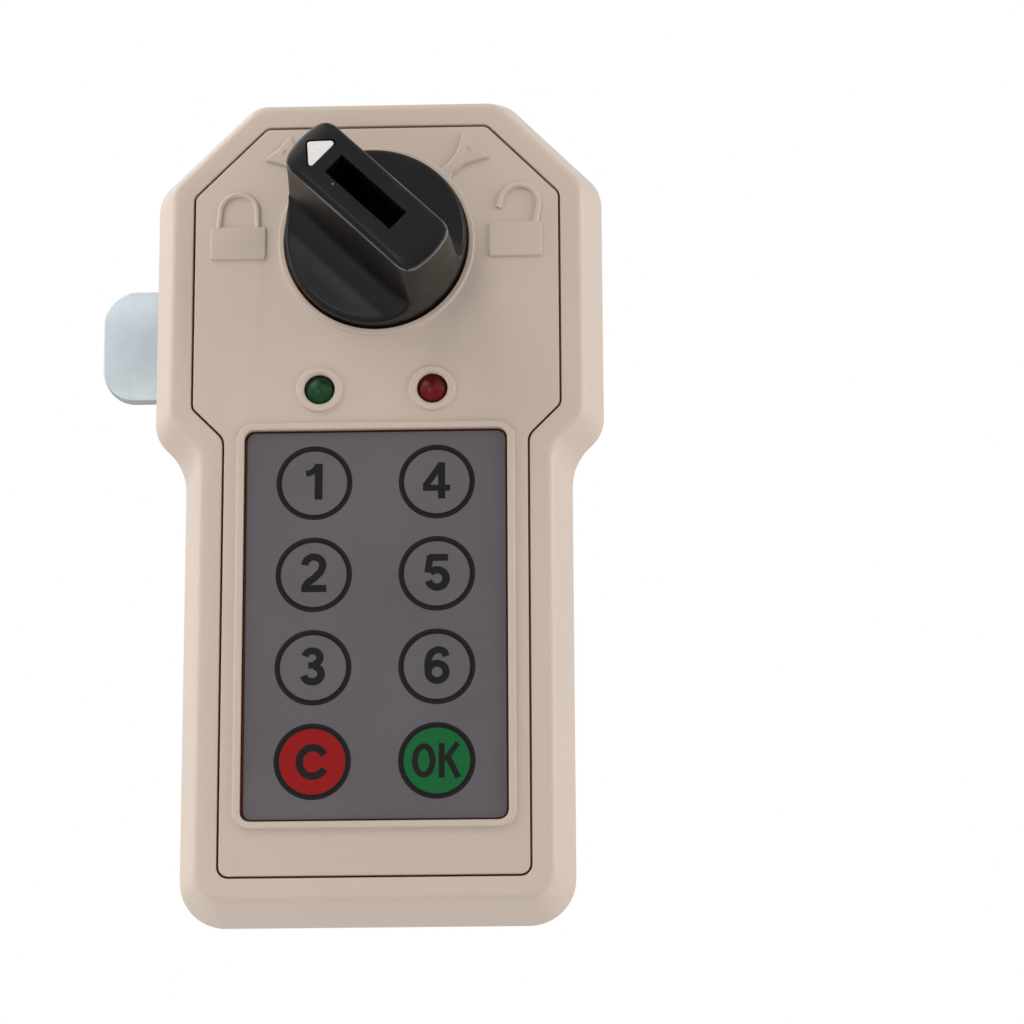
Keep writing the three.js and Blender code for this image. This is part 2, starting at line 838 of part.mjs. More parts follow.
// Knob: a profile that changes with the angle about the axis, then bores and cuts.
function knob() {
  const bottomY = pocketFloorY - fit;
  const topY = faceY - knobHeight;
  const flankSteps = 5;
  const quarter = knobQuarterDegrees;
  const inner = quarter.slice(1, -1).reverse();
  const degrees = [
    ...quarter,
    ...inner.map((a) => 180 - a),
    ...quarter.map((a) => 180 + a),
    ...inner.map((a) => 360 - a),
  ];
  const rows = degrees.map((degree) => {
    const angle = -THREE.MathUtils.degToRad(degree);
    const top = gripReach(angle, gripHalfWidth, knobRadius - knobDraft, gripCorner);
    const foot = gripReach(angle, gripHalfWidth + gripDraft, knobRadius, gripFootCorner);
    const rim = Math.max(foot, knobRadius - skirtRound);
    const ring = (radius, y) => {
      const spot = turnPoint(radius * Math.cos(angle), radius * Math.sin(angle));
      return [spot.x, y, spot.y];
    };
    const heightAt = (radius) => hollowHeight(radius * Math.sin(angle));
    const flank = Array.from({ length: flankSteps + 1 }, (_, step) => {
      const radius = foot + ((rim - foot) * step) / flankSteps;
      return ring(radius, faceY - heightAt(radius));
    });
    return [
      ring(0, topY),
      ring(top - crownInset, topY),
      ring(top - crownInset / 3, topY + crownDrop / 3),
      ring(top, topY + crownDrop),
      ...flank,
      ring(knobRadius, faceY - heightAt(rim) + knobRadius - rim),
      ring(knobRadius, bottomY),
      ring(0, bottomY),
    ];
  });
  let solid = skin(rows);
  solid = solid.add(disc(hubRadius, bottomY - embed, hubEndY, 0, knobZ, roundMedium));
  const plugFaceY = faceY - plugTopHeight;
  solid = solid.subtract(
    disc(plugRadius + fit, plugFaceY - fit, hubEndY + overrun, 0, knobZ, roundMedium),
  );
  const slot = [
    turnPoint(slotShift - slotHalfLength, -slotHalfWidth),
    turnPoint(slotShift + slotHalfLength, -slotHalfWidth),
    turnPoint(slotShift + slotHalfLength, slotHalfWidth),
    turnPoint(slotShift - slotHalfLength, slotHalfWidth),
  ];
  solid = solid.subtract(slab(slot, faceY - knobHeight - overrun, plugFaceY - fit / 2));
  const seat = slab(pointerPoints(fit), faceY - knobHeight - overrun, pointerFloorY + fit);
  return solid.subtract(seat);
}

const pointerFloorY = faceY - knobHeight + pointerDepth;

// The white triangle, its tip towards the grip's pointer end, grown by a clearance.
function pointerPoints(grow) {
  const corners = [
    turnPoint(pointerBase + pointerLength, 0),
    turnPoint(pointerBase, pointerHalfWidth),
    turnPoint(pointerBase, -pointerHalfWidth),
  ];
  return offsetRounded(corners, grow, () => pointerCorner + grow, () => 2);
}

function pointerInsert() {
  return slab(pointerPoints(0), faceY - knobHeight, pointerFloorY);
}

// Emergency key plug in the knob, its key way along the grip's slot.
function keyPlug() {
  const faceOfPlug = faceY - plugTopHeight;
  const body = disc(plugRadius, faceOfPlug, hubEndY, 0, knobZ, roundMedium);
  const way = [
    turnPoint(-plugKeyHalfLength, -plugKeyHalfWidth),
    turnPoint(plugKeyHalfLength, -plugKeyHalfWidth),
    turnPoint(plugKeyHalfLength, plugKeyHalfWidth),
    turnPoint(-plugKeyHalfLength, plugKeyHalfWidth),
  ];
  return body.subtract(slab(way, faceOfPlug - overrun, faceOfPlug + plugKeyDepth));
}

const cylinderFlangeY = panelBackY + panelBossLength + fit;

function lockCylinder() {
  const flangeBackY = cylinderFlangeY + cylinderFlangeThick;
  const noseY = pocketFloorY + fit;
  const boreStep = hubEndY + fit;
  let solid = turned(
    [
      [hubRadius + fit, noseY],
      [noseRadius, noseY],
      [noseRadius, cylinderFlangeY],
      [cylinderFlangeRadius, cylinderFlangeY],
      [cylinderFlangeRadius, flangeBackY],
      [cylinderRadius, flangeBackY],
      [cylinderRadius, cylinderBackY],
      [spindleRadius + fit, cylinderBackY],
      [spindleRadius + fit, boreStep],
      [hubRadius + fit, boreStep],
      [hubRadius + fit, noseY],
    ],
    0,
    knobZ,
    roundMedium,
  );
  for (const side of [-1, 1]) {
    const ear = disc(earRadius, cylinderFlangeY, flangeBackY, side * earReach, knobZ, roundSmall);
    const ends = [side * (cylinderFlangeRadius - embed), side * earReach];
    const web = slab(
      boxPoints(Math.min(...ends), Math.max(...ends), knobZ - earRadius, knobZ + earRadius),
      cylinderFlangeY,
      flangeBackY,
    );
    const hole = disc(
      earScrewRadius + fit,
      cylinderFlangeY - overrun,
      flangeBackY + overrun,
      side * earReach,
      knobZ,
      roundSmall,
    );
    solid = solid.add(ear).add(web).subtract(hole);
  }
  return solid;
}

const stopWasherY = bushBackY + fit;
const camWasherY = camFrontY + camThick + fit;
const camScrewSeatY = camWasherY + camWasherThick + fit;
const squareEndY = camFrontY + camThick;

function squarePoints(half) {
  const bevel = half / 5;
  return roundedRectPoints(0, knobZ, half, half, bevel, 1);
}

function spindle() {
  const frontY = hubEndY + fit;
  const round = disc(spindleRadius, frontY, bushBackY, 0, knobZ, roundMedium);
  const square = slab(squarePoints(squareHalf), bushBackY - embed, squareEndY);
  const thread = disc(
    camScrewRadius + fit,
    squareEndY - camScrewLength,
    squareEndY + overrun,
    0,
    knobZ,
    roundSmall,
  );
  return round.add(square).subtract(thread);
}

// Disc with one notch for each end of the knob's quarter turn, where the bolt drops in.
function lockingDisc() {
  const backY = discFrontY + discThick;
  const bore = spindleRadius + fit;
  let solid = tube(discRadius, bore, discFrontY, backY, 0, knobZ, roundLarge);
  const outer = discRadius + overrun;
  const inner = discRadius - notchDepth;
  const notches = [
    boxPoints(-notchHalfWidth, notchHalfWidth, knobZ - outer, knobZ - inner),
    boxPoints(inner, outer, knobZ - notchHalfWidth, knobZ + notchHalfWidth),
  ];
  for (const notch of notches) {
    solid = solid.subtract(slab(notch, discFrontY - overrun, backY + overrun));
  }
  return solid;
}

const bushSeatY = caseBackY + fit;

// Bush with a raised wall at its back, open where the stop washer's lug makes its quarter turn.
function spindleBush() {
  const flangeEnd = bushSeatY + bushFlangeThick;
  const frontY = caseBackY - caseBackThick - bushFlangeThick;
  const wallEnd = stopWasherY + stopWasherThick - fit;
  const body = turned(
    [
      [spindleRadius + fit, frontY],
      [bushRadius, frontY],
      [bushRadius, bushSeatY],
      [bushFlangeRadius, bushSeatY],
      [bushFlangeRadius, flangeEnd],
      [bushRadius, flangeEnd],
      [bushRadius, wallEnd],
      [stopWallRadius, wallEnd],
      [stopWallRadius, bushBackY],
      [spindleRadius + fit, bushBackY],
      [spindleRadius + fit, frontY],
    ],
    0,
    knobZ,
    roundMedium,
  );
  const swing = Math.asin((stopLugHalfWidth + fit) / stopWallRadius);
  const sector = [
    new THREE.Vector2(0, knobZ),
    ...arcPoints(0, knobZ, bushFlangeRadius, Math.PI / 2 - swing, Math.PI + swing, roundSmall),
  ];
  return body.subtract(slab(sector, bushBackY, wallEnd + overrun));
}

function stopWasher() {
  const backY = stopWasherY + stopWasherThick;
  const plate = disc(stopWasherRadius, stopWasherY, backY, 0, knobZ, roundMedium);
  const lug = slab(
    boxPoints(-stopLugReach, 0, knobZ - stopLugHalfWidth, knobZ + stopLugHalfWidth),
    stopWasherY,
    backY,
  );
  const square = slab(squarePoints(squareHalf + fit), stopWasherY - overrun, backY + overrun);
  return plate.add(lug).subtract(square);
}

function cam() {
  const quarter = Math.PI / 2;
  const cornerX = -camTip + camTipCorner;
  const cornerZ = camHalfWidth - camTipCorner;
  const hubJoin = Math.asin(camHalfWidth / camHubRadius);
  const edge = [
    ...arcPoints(0, knobZ, camHubRadius, -Math.PI + hubJoin, Math.PI - hubJoin, roundMedium),
    ...arcPoints(cornerX, knobZ + cornerZ, camTipCorner, quarter, 2 * quarter, 5),
    ...arcPoints(cornerX, knobZ - cornerZ, camTipCorner, 2 * quarter, 3 * quarter, 5),
  ];
  const plate = slab(edge, camFrontY, camFrontY + camThick);
  return plate.subtract(
    slab(squarePoints(squareHalf + fit), camFrontY - overrun, camFrontY + camThick + overrun),
  );
}

function camWasher() {
  const backY = camWasherY + camWasherThick;
  return tube(camWasherRadius, camScrewRadius + fit, camWasherY, backY, 0, knobZ, roundMedium);
}

function camScrew() {
  const crown = camScrewHeadThick / 6;
  const sixth = 6;
  const shank = disc(
    camScrewRadius,
    camScrewSeatY - camScrewLength,
    camScrewSeatY + embed,
    0,
    knobZ,
    roundSmall,
  );
  const head = slab(
    circlePoints(0, knobZ, camScrewHeadRadius, sixth),
    camScrewSeatY,
    camScrewSeatY + camScrewHeadThick,
  );
  const dish = turned(
    [
      [0, camScrewSeatY - overrun],
      [camScrewHeadRadius, camScrewSeatY - overrun],
      [camScrewHeadRadius, camScrewSeatY + camScrewHeadThick - 2 * crown],
      [camScrewHeadRadius - 2 * crown, camScrewSeatY + camScrewHeadThick],
      [0, camScrewSeatY + camScrewHeadThick],
    ],
    0,
    knobZ,
    roundMedium,
  );
  return head.intersect(dish).add(shank);
}

const bayFloorBackY = bayFloorY + bayFloorThick;
const coverFrontY = caseBackY - coverThick - fit;
const railBackY = caseBackY + railDepth;

// Rear case: a tub with screw towers, battery bay and the rails of its cover.
function rearCase() {
  const wallInner = -caseInset - caseWall;
  let solid = outlineSlab(-caseInset, lipFrontY, caseBackY);
  solid = solid.add(outlineSlab(-lipInset, lipFrontY, lipBackY));
  solid = solid.subtract(outlineSlab(wallInner, lipFrontY - overrun, caseBackY - caseBackThick));
  const innerHalf = lowerHalf + wallInner;
  const wallReach = innerHalf + embed;
  const wallBottom = panelBottom - wallInner - embed;
  const partition = boxPoints(-wallReach, wallReach, wallBottom, bayTopZ + bayTopThick);
  solid = solid.add(slab(partition, bayFloorY, bayFloorBackY));
  const ceiling = boxPoints(-wallReach, wallReach, bayTopZ, bayTopZ + bayTopThick);
  solid = solid.add(slab(ceiling, bayFloorY, caseBackY - embed));
  const sill = boxPoints(-wallReach, wallReach, bayBottomZ - bayTopThick, bayBottomZ);
  solid = solid.add(slab(sill, bayFloorY, caseBackY - caseBackThick));

  const seatFrontY = coverFrontY - fit - coverSeatThick;
  const seat = boxPoints(-wallReach, wallReach, wallBottom, coverTopZ + caseBackThick);
  solid = solid.add(slab(seat, seatFrontY, caseBackY - caseBackThick + embed));

  // Rails: side strips behind the back face, hooked over the cover's edges
  for (const side of [-1, 1]) {
    const inner = side * (coverHalf + fit - railLip);
    const outer = side * (lowerHalf - caseInset);
    const [low, high] = [Math.min(inner, outer), Math.max(inner, outer)];
    const strip = boxPoints(low, high, coverBottomZ, coverTopZ);
    solid = solid.add(slab(strip, caseBackY - embed, railBackY));
  }
  const pad = boxPoints(-solenoidHalfX, solenoidHalfX, solenoidBottomZ, solenoidTopZ);
  solid = solid.add(slab(pad, solenoidBackY + fit, caseBackY - embed));
  const postRoom = towerPlaces.map(([x, z]) =>
    disc(postRadius + fit, lipFrontY - overrun, towerFrontY, x, z, roundSmall),
  );
  for (const room of postRoom) solid = solid.subtract(room);
  for (const [x, z] of towerPlaces) {
    const tower = disc(towerRadius, towerFrontY, caseBackY - embed, x, z, roundSmall);
    const wellFrontY = towerFrontY + towerSeatThick;
    const well = disc(towerBoreRadius, wellFrontY, railBackY + overrun, x, z, roundSmall);
    const hole = disc(caseScrewRadius + fit, towerFrontY - overrun, railBackY, x, z, roundSmall);
    solid = solid.add(tower).subtract(well).subtract(hole);
  }
  const track = boxPoints(-coverHalf - fit, coverHalf + fit, panelBottom, coverTopZ + fit);
  solid = solid.subtract(slab(track, coverFrontY - fit, caseBackY + fit));
  const window = boxPoints(-windowHalf, windowHalf, bayBottomZ + bayTopThick, bayTopZ - fit);
  solid = solid.subtract(slab(window, bayFloorBackY + cellRadius, caseBackY + overrun));
  const boreFrontY = caseBackY - caseBackThick - overrun;
  const bore = disc(bushRadius + fit, boreFrontY, caseBackY + overrun, 0, knobZ, roundMedium);
  return solid.subtract(bore);
}

function batteryCover() {
  const plate = boxPoints(-coverHalf, coverHalf, coverBottomZ, coverTopZ);
  let solid = slab(plate, coverFrontY, coverFrontY + coverThick);
  for (let i = 0; i < gripRibs; i += 1) {
    const z = coverBottomZ + (i + 2) * gripRibPitch;
    const low = z - gripRibHalfWidth;
    const rib = boxPoints(-gripRibHalfLength, gripRibHalfLength, low, z + gripRibHalfWidth);
    const root = coverFrontY + coverThick - embed;
    solid = solid.add(slab(rib, root, coverFrontY + coverThick + gripRibRise));
  }
  return solid;
}

// Round cell standing in the bay, its nipple up or down.
function batteryCell(x, y, up) {
  const bodyTop = cellLength - cellNipLength;
  const points = [
    [0, 0],
    [cellRadius, 0],
    [cellRadius, bodyTop],
    [cellNipRadius, bodyTop],
    [cellNipRadius, cellLength],
    [0, cellLength],
  ].map(([radius, z]) => new THREE.Vector2(radius, z));
  const geometry = new THREE.LatheGeometry(points, roundMedium);
  geometry.rotateX(up ? Math.PI / 2 : -Math.PI / 2);
  geometry.translate(x, y, up ? cellBottomZ : cellBottomZ + cellLength);
  return solidFrom(geometry);
}

const cellMiddleY = cellFrontY + cellPitchY / 2;
// Contact plate across a pair of cells, dimpled towards them.
function contactPlate(side, top) {
  const plateZ = top ? cellTopZ + fit : cellBottomZ - fit - contactThick;
  const plate = column(
    roundedRectPoints(side * cellX, cellMiddleY, contactHalfX, contactHalfY, cellNipLength, 2),
    plateZ,
    plateZ + contactThick,
  );
  const tabHalf = contactHalfX / 3;
  const tab = column(
    roundedRectPoints(side * cellX, cellMiddleY, tabHalf, tabHalf, cellNipLength / 2, 2),
    top ? plateZ : plateZ - contactThick / 2,
    top ? plateZ + 2 * contactThick : plateZ + contactThick / 2,
  );
  return plate.add(tab);
}

// Lead from the bay's ceiling forward to the back of the board.
function batteryLead(side) {
  const startZ = bayTopZ + bayTopThick + fit;
  const x = side * leadX;
  const startY = bayFloorY + bayFloorThick;
  const path = new THREE.CatmullRomCurve3(
    [
      new THREE.Vector3(x, startY, startZ + leadRadius),
      new THREE.Vector3(x, startY - bayFloorThick / 2, startZ + leadRiseZ / 2 + leadRadius),
      new THREE.Vector3(x, boardBackY + fit + leadRadius, startZ + leadRiseZ),
      new THREE.Vector3(x, boardBackY + fit, startZ + leadRiseZ + leadRadius),
    ],
    false,
  );
  const section = new THREE.Shape(circlePoints(0, 0, leadRadius, 6));
  const geometry = new THREE.ExtrudeGeometry(section, {
    steps: 6,
    extrudePath: path,
    bevelEnabled: false,
    curveSegments: 1,
  });
  return solidFrom(geometry);
}

const discMiddleY = discFrontY + discThick / 2;
const solenoidBackY = 2 * discMiddleY - solenoidFrontY;
const solenoidTopZ = solenoidZ + solenoidHalfZ;
const solenoidBottomZ = solenoidZ - solenoidHalfZ;
const discRimZ = knobZ - discRadius;

// Folded steel frame: bottom, back and top plates round the coil.
function solenoidFrame() {
  const outer = column(
    boxPoints(-solenoidHalfX, solenoidHalfX, solenoidFrontY, solenoidBackY),
    solenoidBottomZ,
    solenoidTopZ,
  );
  const room = column(
    boxPoints(
      -solenoidHalfX - overrun,
      solenoidHalfX + overrun,
      solenoidFrontY - overrun,
      solenoidBackY - solenoidPlate,
    ),
    solenoidBottomZ + solenoidPlate,
    solenoidTopZ - solenoidPlate,
  );
  const hole = column(
    circlePoints(0, discMiddleY, plungerRadius + fit, roundSmall),
    solenoidZ,
    solenoidTopZ + overrun,
  );
  return outer.subtract(room).subtract(hole);
}

function solenoidCoil() {
  const low = solenoidBottomZ + solenoidPlate + fit;
  const high = solenoidTopZ - solenoidPlate - fit;
  const waist = coilRadius - bobbinFlange / 2;
  const points = [
    [coilBore, 0],
    [coilRadius, 0],
    [coilRadius, bobbinFlange],
    [waist, bobbinFlange],
    [waist, high - low - bobbinFlange],
    [coilRadius, high - low - bobbinFlange],
    [coilRadius, high - low],
    [coilBore, high - low],
    [coilBore, 0],
  ].map(([radius, z]) => new THREE.Vector2(radius, z));
  const geometry = new THREE.LatheGeometry(points, roundMedium);
  geometry.rotateX(Math.PI / 2);
  geometry.translate(0, discMiddleY, low);
  return solidFrom(geometry);
}

const springBottomZ = solenoidBottomZ + solenoidPlate + fit;

function solenoidPlunger() {
  const low = springBottomZ + springLength + fit;
  const high = discRimZ - plungerGap;
  const shoulder = plungerRadius / 4;
  const shaft = column(circlePoints(0, discMiddleY, plungerRadius, roundSmall), low, high - shoulder);
  const tip = column(
    circlePoints(0, discMiddleY, plungerRadius - shoulder, roundSmall),
    high - shoulder - embed,
    high,
  );
  return shaft.add(tip);
}

function plungerSpring() {
  const outer = column(
    circlePoints(0, discMiddleY, springRadius, roundSmall),
    springBottomZ,
    springBottomZ + springLength,
  );
  const bore = column(
    circlePoints(0, discMiddleY, springBore, roundSmall),
    springBottomZ - overrun,
    springBottomZ + springLength + overrun,
  );
  return outer.subtract(bore);
}

const lock = new THREE.Group();

const place = (name, solid, look) => lock.add(meshFrom(name, solid, finishes[look]));

place("front_housing", frontHousing(), "housing");
place("front_panel", frontPanel(), "panel");
place("keypad_overlay", keypadOverlay(), "film");
place("dome_sheet", domeSheet(), "steel");
place("main_board", mainBoard(), "board");
place("controller_chip", controllerChip(), "chip");
place("buzzer", buzzer(), "chip");
place("led_green", lamp(-1), "lampGreen");
place("led_red", lamp(1), "lampRed");
for (const key of keyPlaces) place(key.name, keyCap(key), key.look);

place("knob", knob(), "black");
place("pointer_insert", pointerInsert(), "white");
place("key_plug", keyPlug(), "brass");
place("lock_cylinder", lockCylinder(), "steel");
place("spindle", spindle(), "zinc");
place("locking_disc", lockingDisc(), "steel");
place("spindle_bush", spindleBush(), "brass");
place("stop_washer", stopWasher(), "zinc");
place("cam", cam(), "zinc");
place("cam_washer", camWasher(), "steel");
place("cam_screw", camScrew(), "steel");

place("rear_case", rearCase(), "black");
place("battery_cover", batteryCover(), "black");
let cellNumber = 1;
for (const side of [-1, 1]) {
  for (const y of [cellFrontY, cellFrontY + cellPitchY]) {
    const up = cellNumber % 2 === 1;
    place("battery_" + cellNumber, batteryCell(side * cellX, y, up), "cell");
    cellNumber += 1;
  }
}
for (const [side, hand] of [
  [-1, "left"],
  [1, "right"],
]) {
  place("contact_top_" + hand, contactPlate(side, true), "steel");
  place("contact_bottom_" + hand, contactPlate(side, false), "steel");
}
place("battery_lead_positive", batteryLead(-1), "keyRed");
place("battery_lead_negative", batteryLead(1), "chip");

place("solenoid_frame", solenoidFrame(), "zinc");
place("solenoid_coil", solenoidCoil(), "copper");
place("solenoid_plunger", solenoidPlunger(), "steel");
place("plunger_spring", plungerSpring(), "steel");

// Screws, with the level that each head seats on
function placeScrew(name, x, z, seat, size) {
  const [headRadius, headThick, shankRadius, length] = size;
  place(name, screw(x, z, seat, headRadius, headThick, shankRadius, length), "zinc");
}
const caseScrewSize = [caseScrewHeadRadius, caseScrewHeadThick, caseScrewRadius, caseScrewLength];
const boardScrewSize = [boardScrewHeadRadius, boardScrewHeadThick, boardScrewRadius, boardScrewLength];
const earScrewSize = [earScrewHeadRadius, earScrewHeadThick, earScrewRadius, earScrewLength];
const caseScrewSeatY = towerFrontY + towerSeatThick + fit;
const earScrewSeatY = cylinderFlangeY + cylinderFlangeThick + fit;
towerPlaces.forEach(([x, z], i) => {
  placeScrew("case_screw_" + (i + 1), x, z, caseScrewSeatY, caseScrewSize);
});
boardScrewPlaces.forEach(([x, z], i) => {
  placeScrew("board_screw_" + (i + 1), x, z, boardBackY + fit, boardScrewSize);
});
[-1, 1].forEach((side, i) => {
  placeScrew("cylinder_screw_" + (i + 1), side * earReach, knobZ, earScrewSeatY, earScrewSize);
});

export default lock;
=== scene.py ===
import math

import bmesh
import bpy
from mathutils import Matrix, Vector


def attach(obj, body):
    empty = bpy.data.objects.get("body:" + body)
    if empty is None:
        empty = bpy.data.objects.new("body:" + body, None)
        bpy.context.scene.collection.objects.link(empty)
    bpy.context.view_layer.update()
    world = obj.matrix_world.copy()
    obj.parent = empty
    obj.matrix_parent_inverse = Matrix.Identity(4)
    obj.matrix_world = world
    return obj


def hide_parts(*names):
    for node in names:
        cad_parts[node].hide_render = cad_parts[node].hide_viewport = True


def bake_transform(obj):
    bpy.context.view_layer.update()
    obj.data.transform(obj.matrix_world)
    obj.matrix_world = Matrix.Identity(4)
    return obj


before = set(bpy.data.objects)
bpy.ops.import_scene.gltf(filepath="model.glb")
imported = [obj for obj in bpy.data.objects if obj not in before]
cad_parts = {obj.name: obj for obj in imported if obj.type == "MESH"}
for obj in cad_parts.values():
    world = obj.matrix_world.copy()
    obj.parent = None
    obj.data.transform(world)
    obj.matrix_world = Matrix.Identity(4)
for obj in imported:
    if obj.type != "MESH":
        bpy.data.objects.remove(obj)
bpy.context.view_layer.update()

# Viewpoint
# The lock is seen nearly square on from about half a metre, a little from below and from the right.
# A long lens keeps its sides nearly parallel.
MM = 0.001
lens = bpy.data.cameras.new("viewpoint")
lens.lens = 130.08
lens.sensor_width = 36
viewpoint = bpy.data.objects.new("viewpoint", lens)
bpy.context.scene.collection.objects.link(viewpoint)
right = Vector((0.99942, 0.03377, -0.00512))
up = Vector((0.01327, -0.24585, 0.96922))
ahead = right.cross(up) * -1
spot = Vector((37.49, -538.80, -138.18)) * MM
viewpoint.matrix_world = Matrix.Translation(spot) @ Matrix((right, up, -ahead)).transposed().to_4x4()
bpy.context.scene.camera = viewpoint
bpy.context.scene.view_settings.view_transform = "Standard"


# Studio
# Plain pale floor under the lock, a white surround for the camera and for reflections, and soft
# light: a main lamp in front at the upper left, large ones above and on both sides, and a small one
# low in front.
class Value:
    """A socket of a node tree. Sums, products and powers of it add Math nodes."""

    def __init__(self, graph, socket):
        self.graph = graph
        self.socket = socket

    def math(self, operation, first, second):
        return self.graph.node("ShaderNodeMath", {"operation": operation}, {0: first, 1: second})

    def __add__(self, other):
        return self.math("ADD", self, other)

    def __radd__(self, other):
        return self.math("ADD", other, self)

    def __sub__(self, other):
        return self.math("SUBTRACT", self, other)

    def __mul__(self, other):
        return self.math("MULTIPLY", self, other)

    def __rmul__(self, other):
        return self.math("MULTIPLY", other, self)

    def __pow__(self, other):
        return self.math("POWER", self, other)

    def most(self, other):
        return self.math("MAXIMUM", self, other)

    def span(self, low, high, start=0.0, end=1.0):
        """The value carried smoothly from the range low to high onto start to end."""
        settings = {"interpolation_type": "SMOOTHSTEP"}
        values = {"Value": self, "From Min": low, "From Max": high, "To Min": start, "To Max": end}
        return self.graph.node("ShaderNodeMapRange", settings, values)


class Graph:
    """A node tree that is filled one node at a time."""

    def __init__(self, tree):
        self.tree = tree

    def node(self, kind, settings=None, values=None, out=0):
        made = self.tree.nodes.new(kind)
        for key, value in (settings or {}).items():
            setattr(made, key, value)
        for key, value in (values or {}).items():
            if isinstance(value, Value):
                self.tree.links.new(value.socket, made.inputs[key])
            else:
                made.inputs[key].default_value = value
        return Value(self, made.outputs[out])


class Finish(Graph):
    """A material with one Principled surface, described by what changes over it."""

    def __init__(self, name):
        self.material = bpy.data.materials.new(name)
        self.material.use_nodes = True
        super().__init__(self.material.node_tree)
        kinds = {n.type: n for n in self.tree.nodes}
        self.surface = kinds["BSDF_PRINCIPLED"]
        self.coordinates = self.node("ShaderNodeTexCoord", out="Object")

    def noise(self, per_metre, detail=2.0, stretch=(1, 1, 1)):
        place = self.coordinates
        if stretch != (1, 1, 1):
            place = self.node("ShaderNodeMapping", None, {"Vector": place, "Scale": stretch})
        values = {"Vector": place, "Scale": per_metre, "Detail": detail}
        return self.node("ShaderNodeTexNoise", None, values)

    def along(self, axis):
        return self.node("ShaderNodeSeparateXYZ", None, {0: self.coordinates}, out=axis)

    def mixed(self, share, first, second):
        values = {0: share, 6: first, 7: second}
        return self.node("ShaderNodeMix", {"data_type": "RGBA"}, values, out=2)

    def relief(self, height, depth, strength=1.0):
        values = {"Height": height, "Distance": depth, "Strength": strength}
        return self.node("ShaderNodeBump", None, values)

    def shows(self, **sockets):
        for name, value in sockets.items():
            socket = self.surface.inputs[name.replace("_", " ")]
            if isinstance(value, Value):
                self.tree.links.new(value.socket, socket)
            else:
                socket.default_value = value
        return self


def shade(red, green, blue):
    """A colour given in screen values from 0 to 255, as the linear colour of a material."""
    parts = [c / 255 for c in (red, green, blue)]
    return (*[c / 12.92 if c < 0.04045 else ((c + 0.055) / 1.055) ** 2.4 for c in parts], 1)


floor_paint = Finish("floor_paint")
floor_tone = floor_paint.mixed(floor_paint.noise(6), shade(244, 244, 244), shade(249, 249, 249))
floor_paint.shows(Base_Color=floor_tone, Roughness=0.8)
floor_mesh = bpy.data.meshes.new("floor")
floor_corners = [(-3, -3, -0.17), (3, -3, -0.17), (3, 3, -0.17), (-3, 3, -0.17)]
floor_mesh.from_pydata(floor_corners, [], [(0, 1, 2, 3)])
floor_mesh.materials.append(floor_paint.material)
floor = bpy.data.objects.new("floor", floor_mesh)
bpy.context.scene.collection.objects.link(floor)

surround = bpy.data.worlds.new("surround")
surround.use_nodes = True
bpy.context.scene.world = surround
air = Graph(surround.node_tree)
air.tree.nodes.clear()
seen = air.node("ShaderNodeLightPath", out="Is Camera Ray")
mirrored = Value(air, seen.socket.node.outputs["Is Glossy Ray"])
through = Value(air, seen.socket.node.outputs["Is Transmission Ray"])
soft_light = air.node("ShaderNodeBackground", None, {"Color": (1, 0.995, 0.985, 1), "Strength": 0.335})
white = air.node("ShaderNodeBackground", None, {"Color": (1, 1, 1, 1), "Strength": 1.0})
sees_white = seen.most(mirrored).most(through)
blend = air.node("ShaderNodeMixShader", None, {0: sees_white, 1: soft_light, 2: white})
air_output = air.tree.nodes.new("ShaderNodeOutputWorld")
air.tree.links.new(blend.socket, air_output.inputs["Surface"])


def lamp(name, place, size, watts):
    light = bpy.data.lights.new(name, "AREA")
    light.shape = "DISK"
    light.size = size
    light.energy = watts
    made = bpy.data.objects.new(name, light)
    made.location = place
    made.rotation_euler = (-Vector(place)).to_track_quat("-Z", "Y").to_euler()
    bpy.context.scene.collection.objects.link(made)


lamp("main_lamp", (-0.28, -0.31, 0.42), 0.38, 1.2)
lamp("left_lamp", (-1.5, -0.25, 0.1), 1.4, 10.6)
lamp("right_lamp", (1.45, -0.22, 0.3), 1.4, 18)
lamp("top_lamp", (-0.8, 0.15, 0.9), 0.8, 6.2)
lamp("low_lamp", (-0.38, -1.4, 0.0), 0.3, 2.1)

# Housing frame
# Moulded shell that frames the front: a flat band beside the gap, a soft edge and a drafted wall
# that flares to the door, with an inner ledge for the panel and four bosses for the door screws.
FACE_Y = -8.2
UPPER_HALF = 27.6
LOWER_HALF = 22.8
PANEL_TOP = 57.4
GAP = 0.3
KNOB_Z = 39.1
knob_axis = (0, KNOB_Z)


def arc(x, z, radius, start, end, steps):
    """Points of an arc about (x, z), from one angle to another in radians."""
    turns = [start + (end - start) * i / steps for i in range(steps + 1)]
    return [(x + radius * math.cos(a), z + radius * math.sin(a)) for a in turns]


def rounded(corners, offset, radius_of, steps):
    """A polygon moved outwards by an offset, its corners rounded; points run anticlockwise."""
    made = []
    for i, (x, z) in enumerate(corners):
        here = Vector((x, z))
        into = (here - Vector(corners[i - 1])).normalized()
        out = (Vector(corners[(i + 1) % len(corners)]) - here).normalized()
        normal_in = Vector((into.y, -into.x))
        normal_out = Vector((out.y, -out.x))
        turn = math.atan2(into.x * out.y - into.y * out.x, into.dot(out))
        tip = here + (normal_in + normal_out) / (1 + normal_in.dot(normal_out)) * offset
        hollow = turn < 0
        radius = radius_of(hollow, z)
        start = tip - into * radius * math.tan(abs(turn) / 2)
        centre = start + normal_in * (radius if hollow else -radius)
        first = math.atan2(start.y - centre.y, start.x - centre.x)
        made += arc(centre.x, centre.y, radius, first, first + turn, steps)
    return made


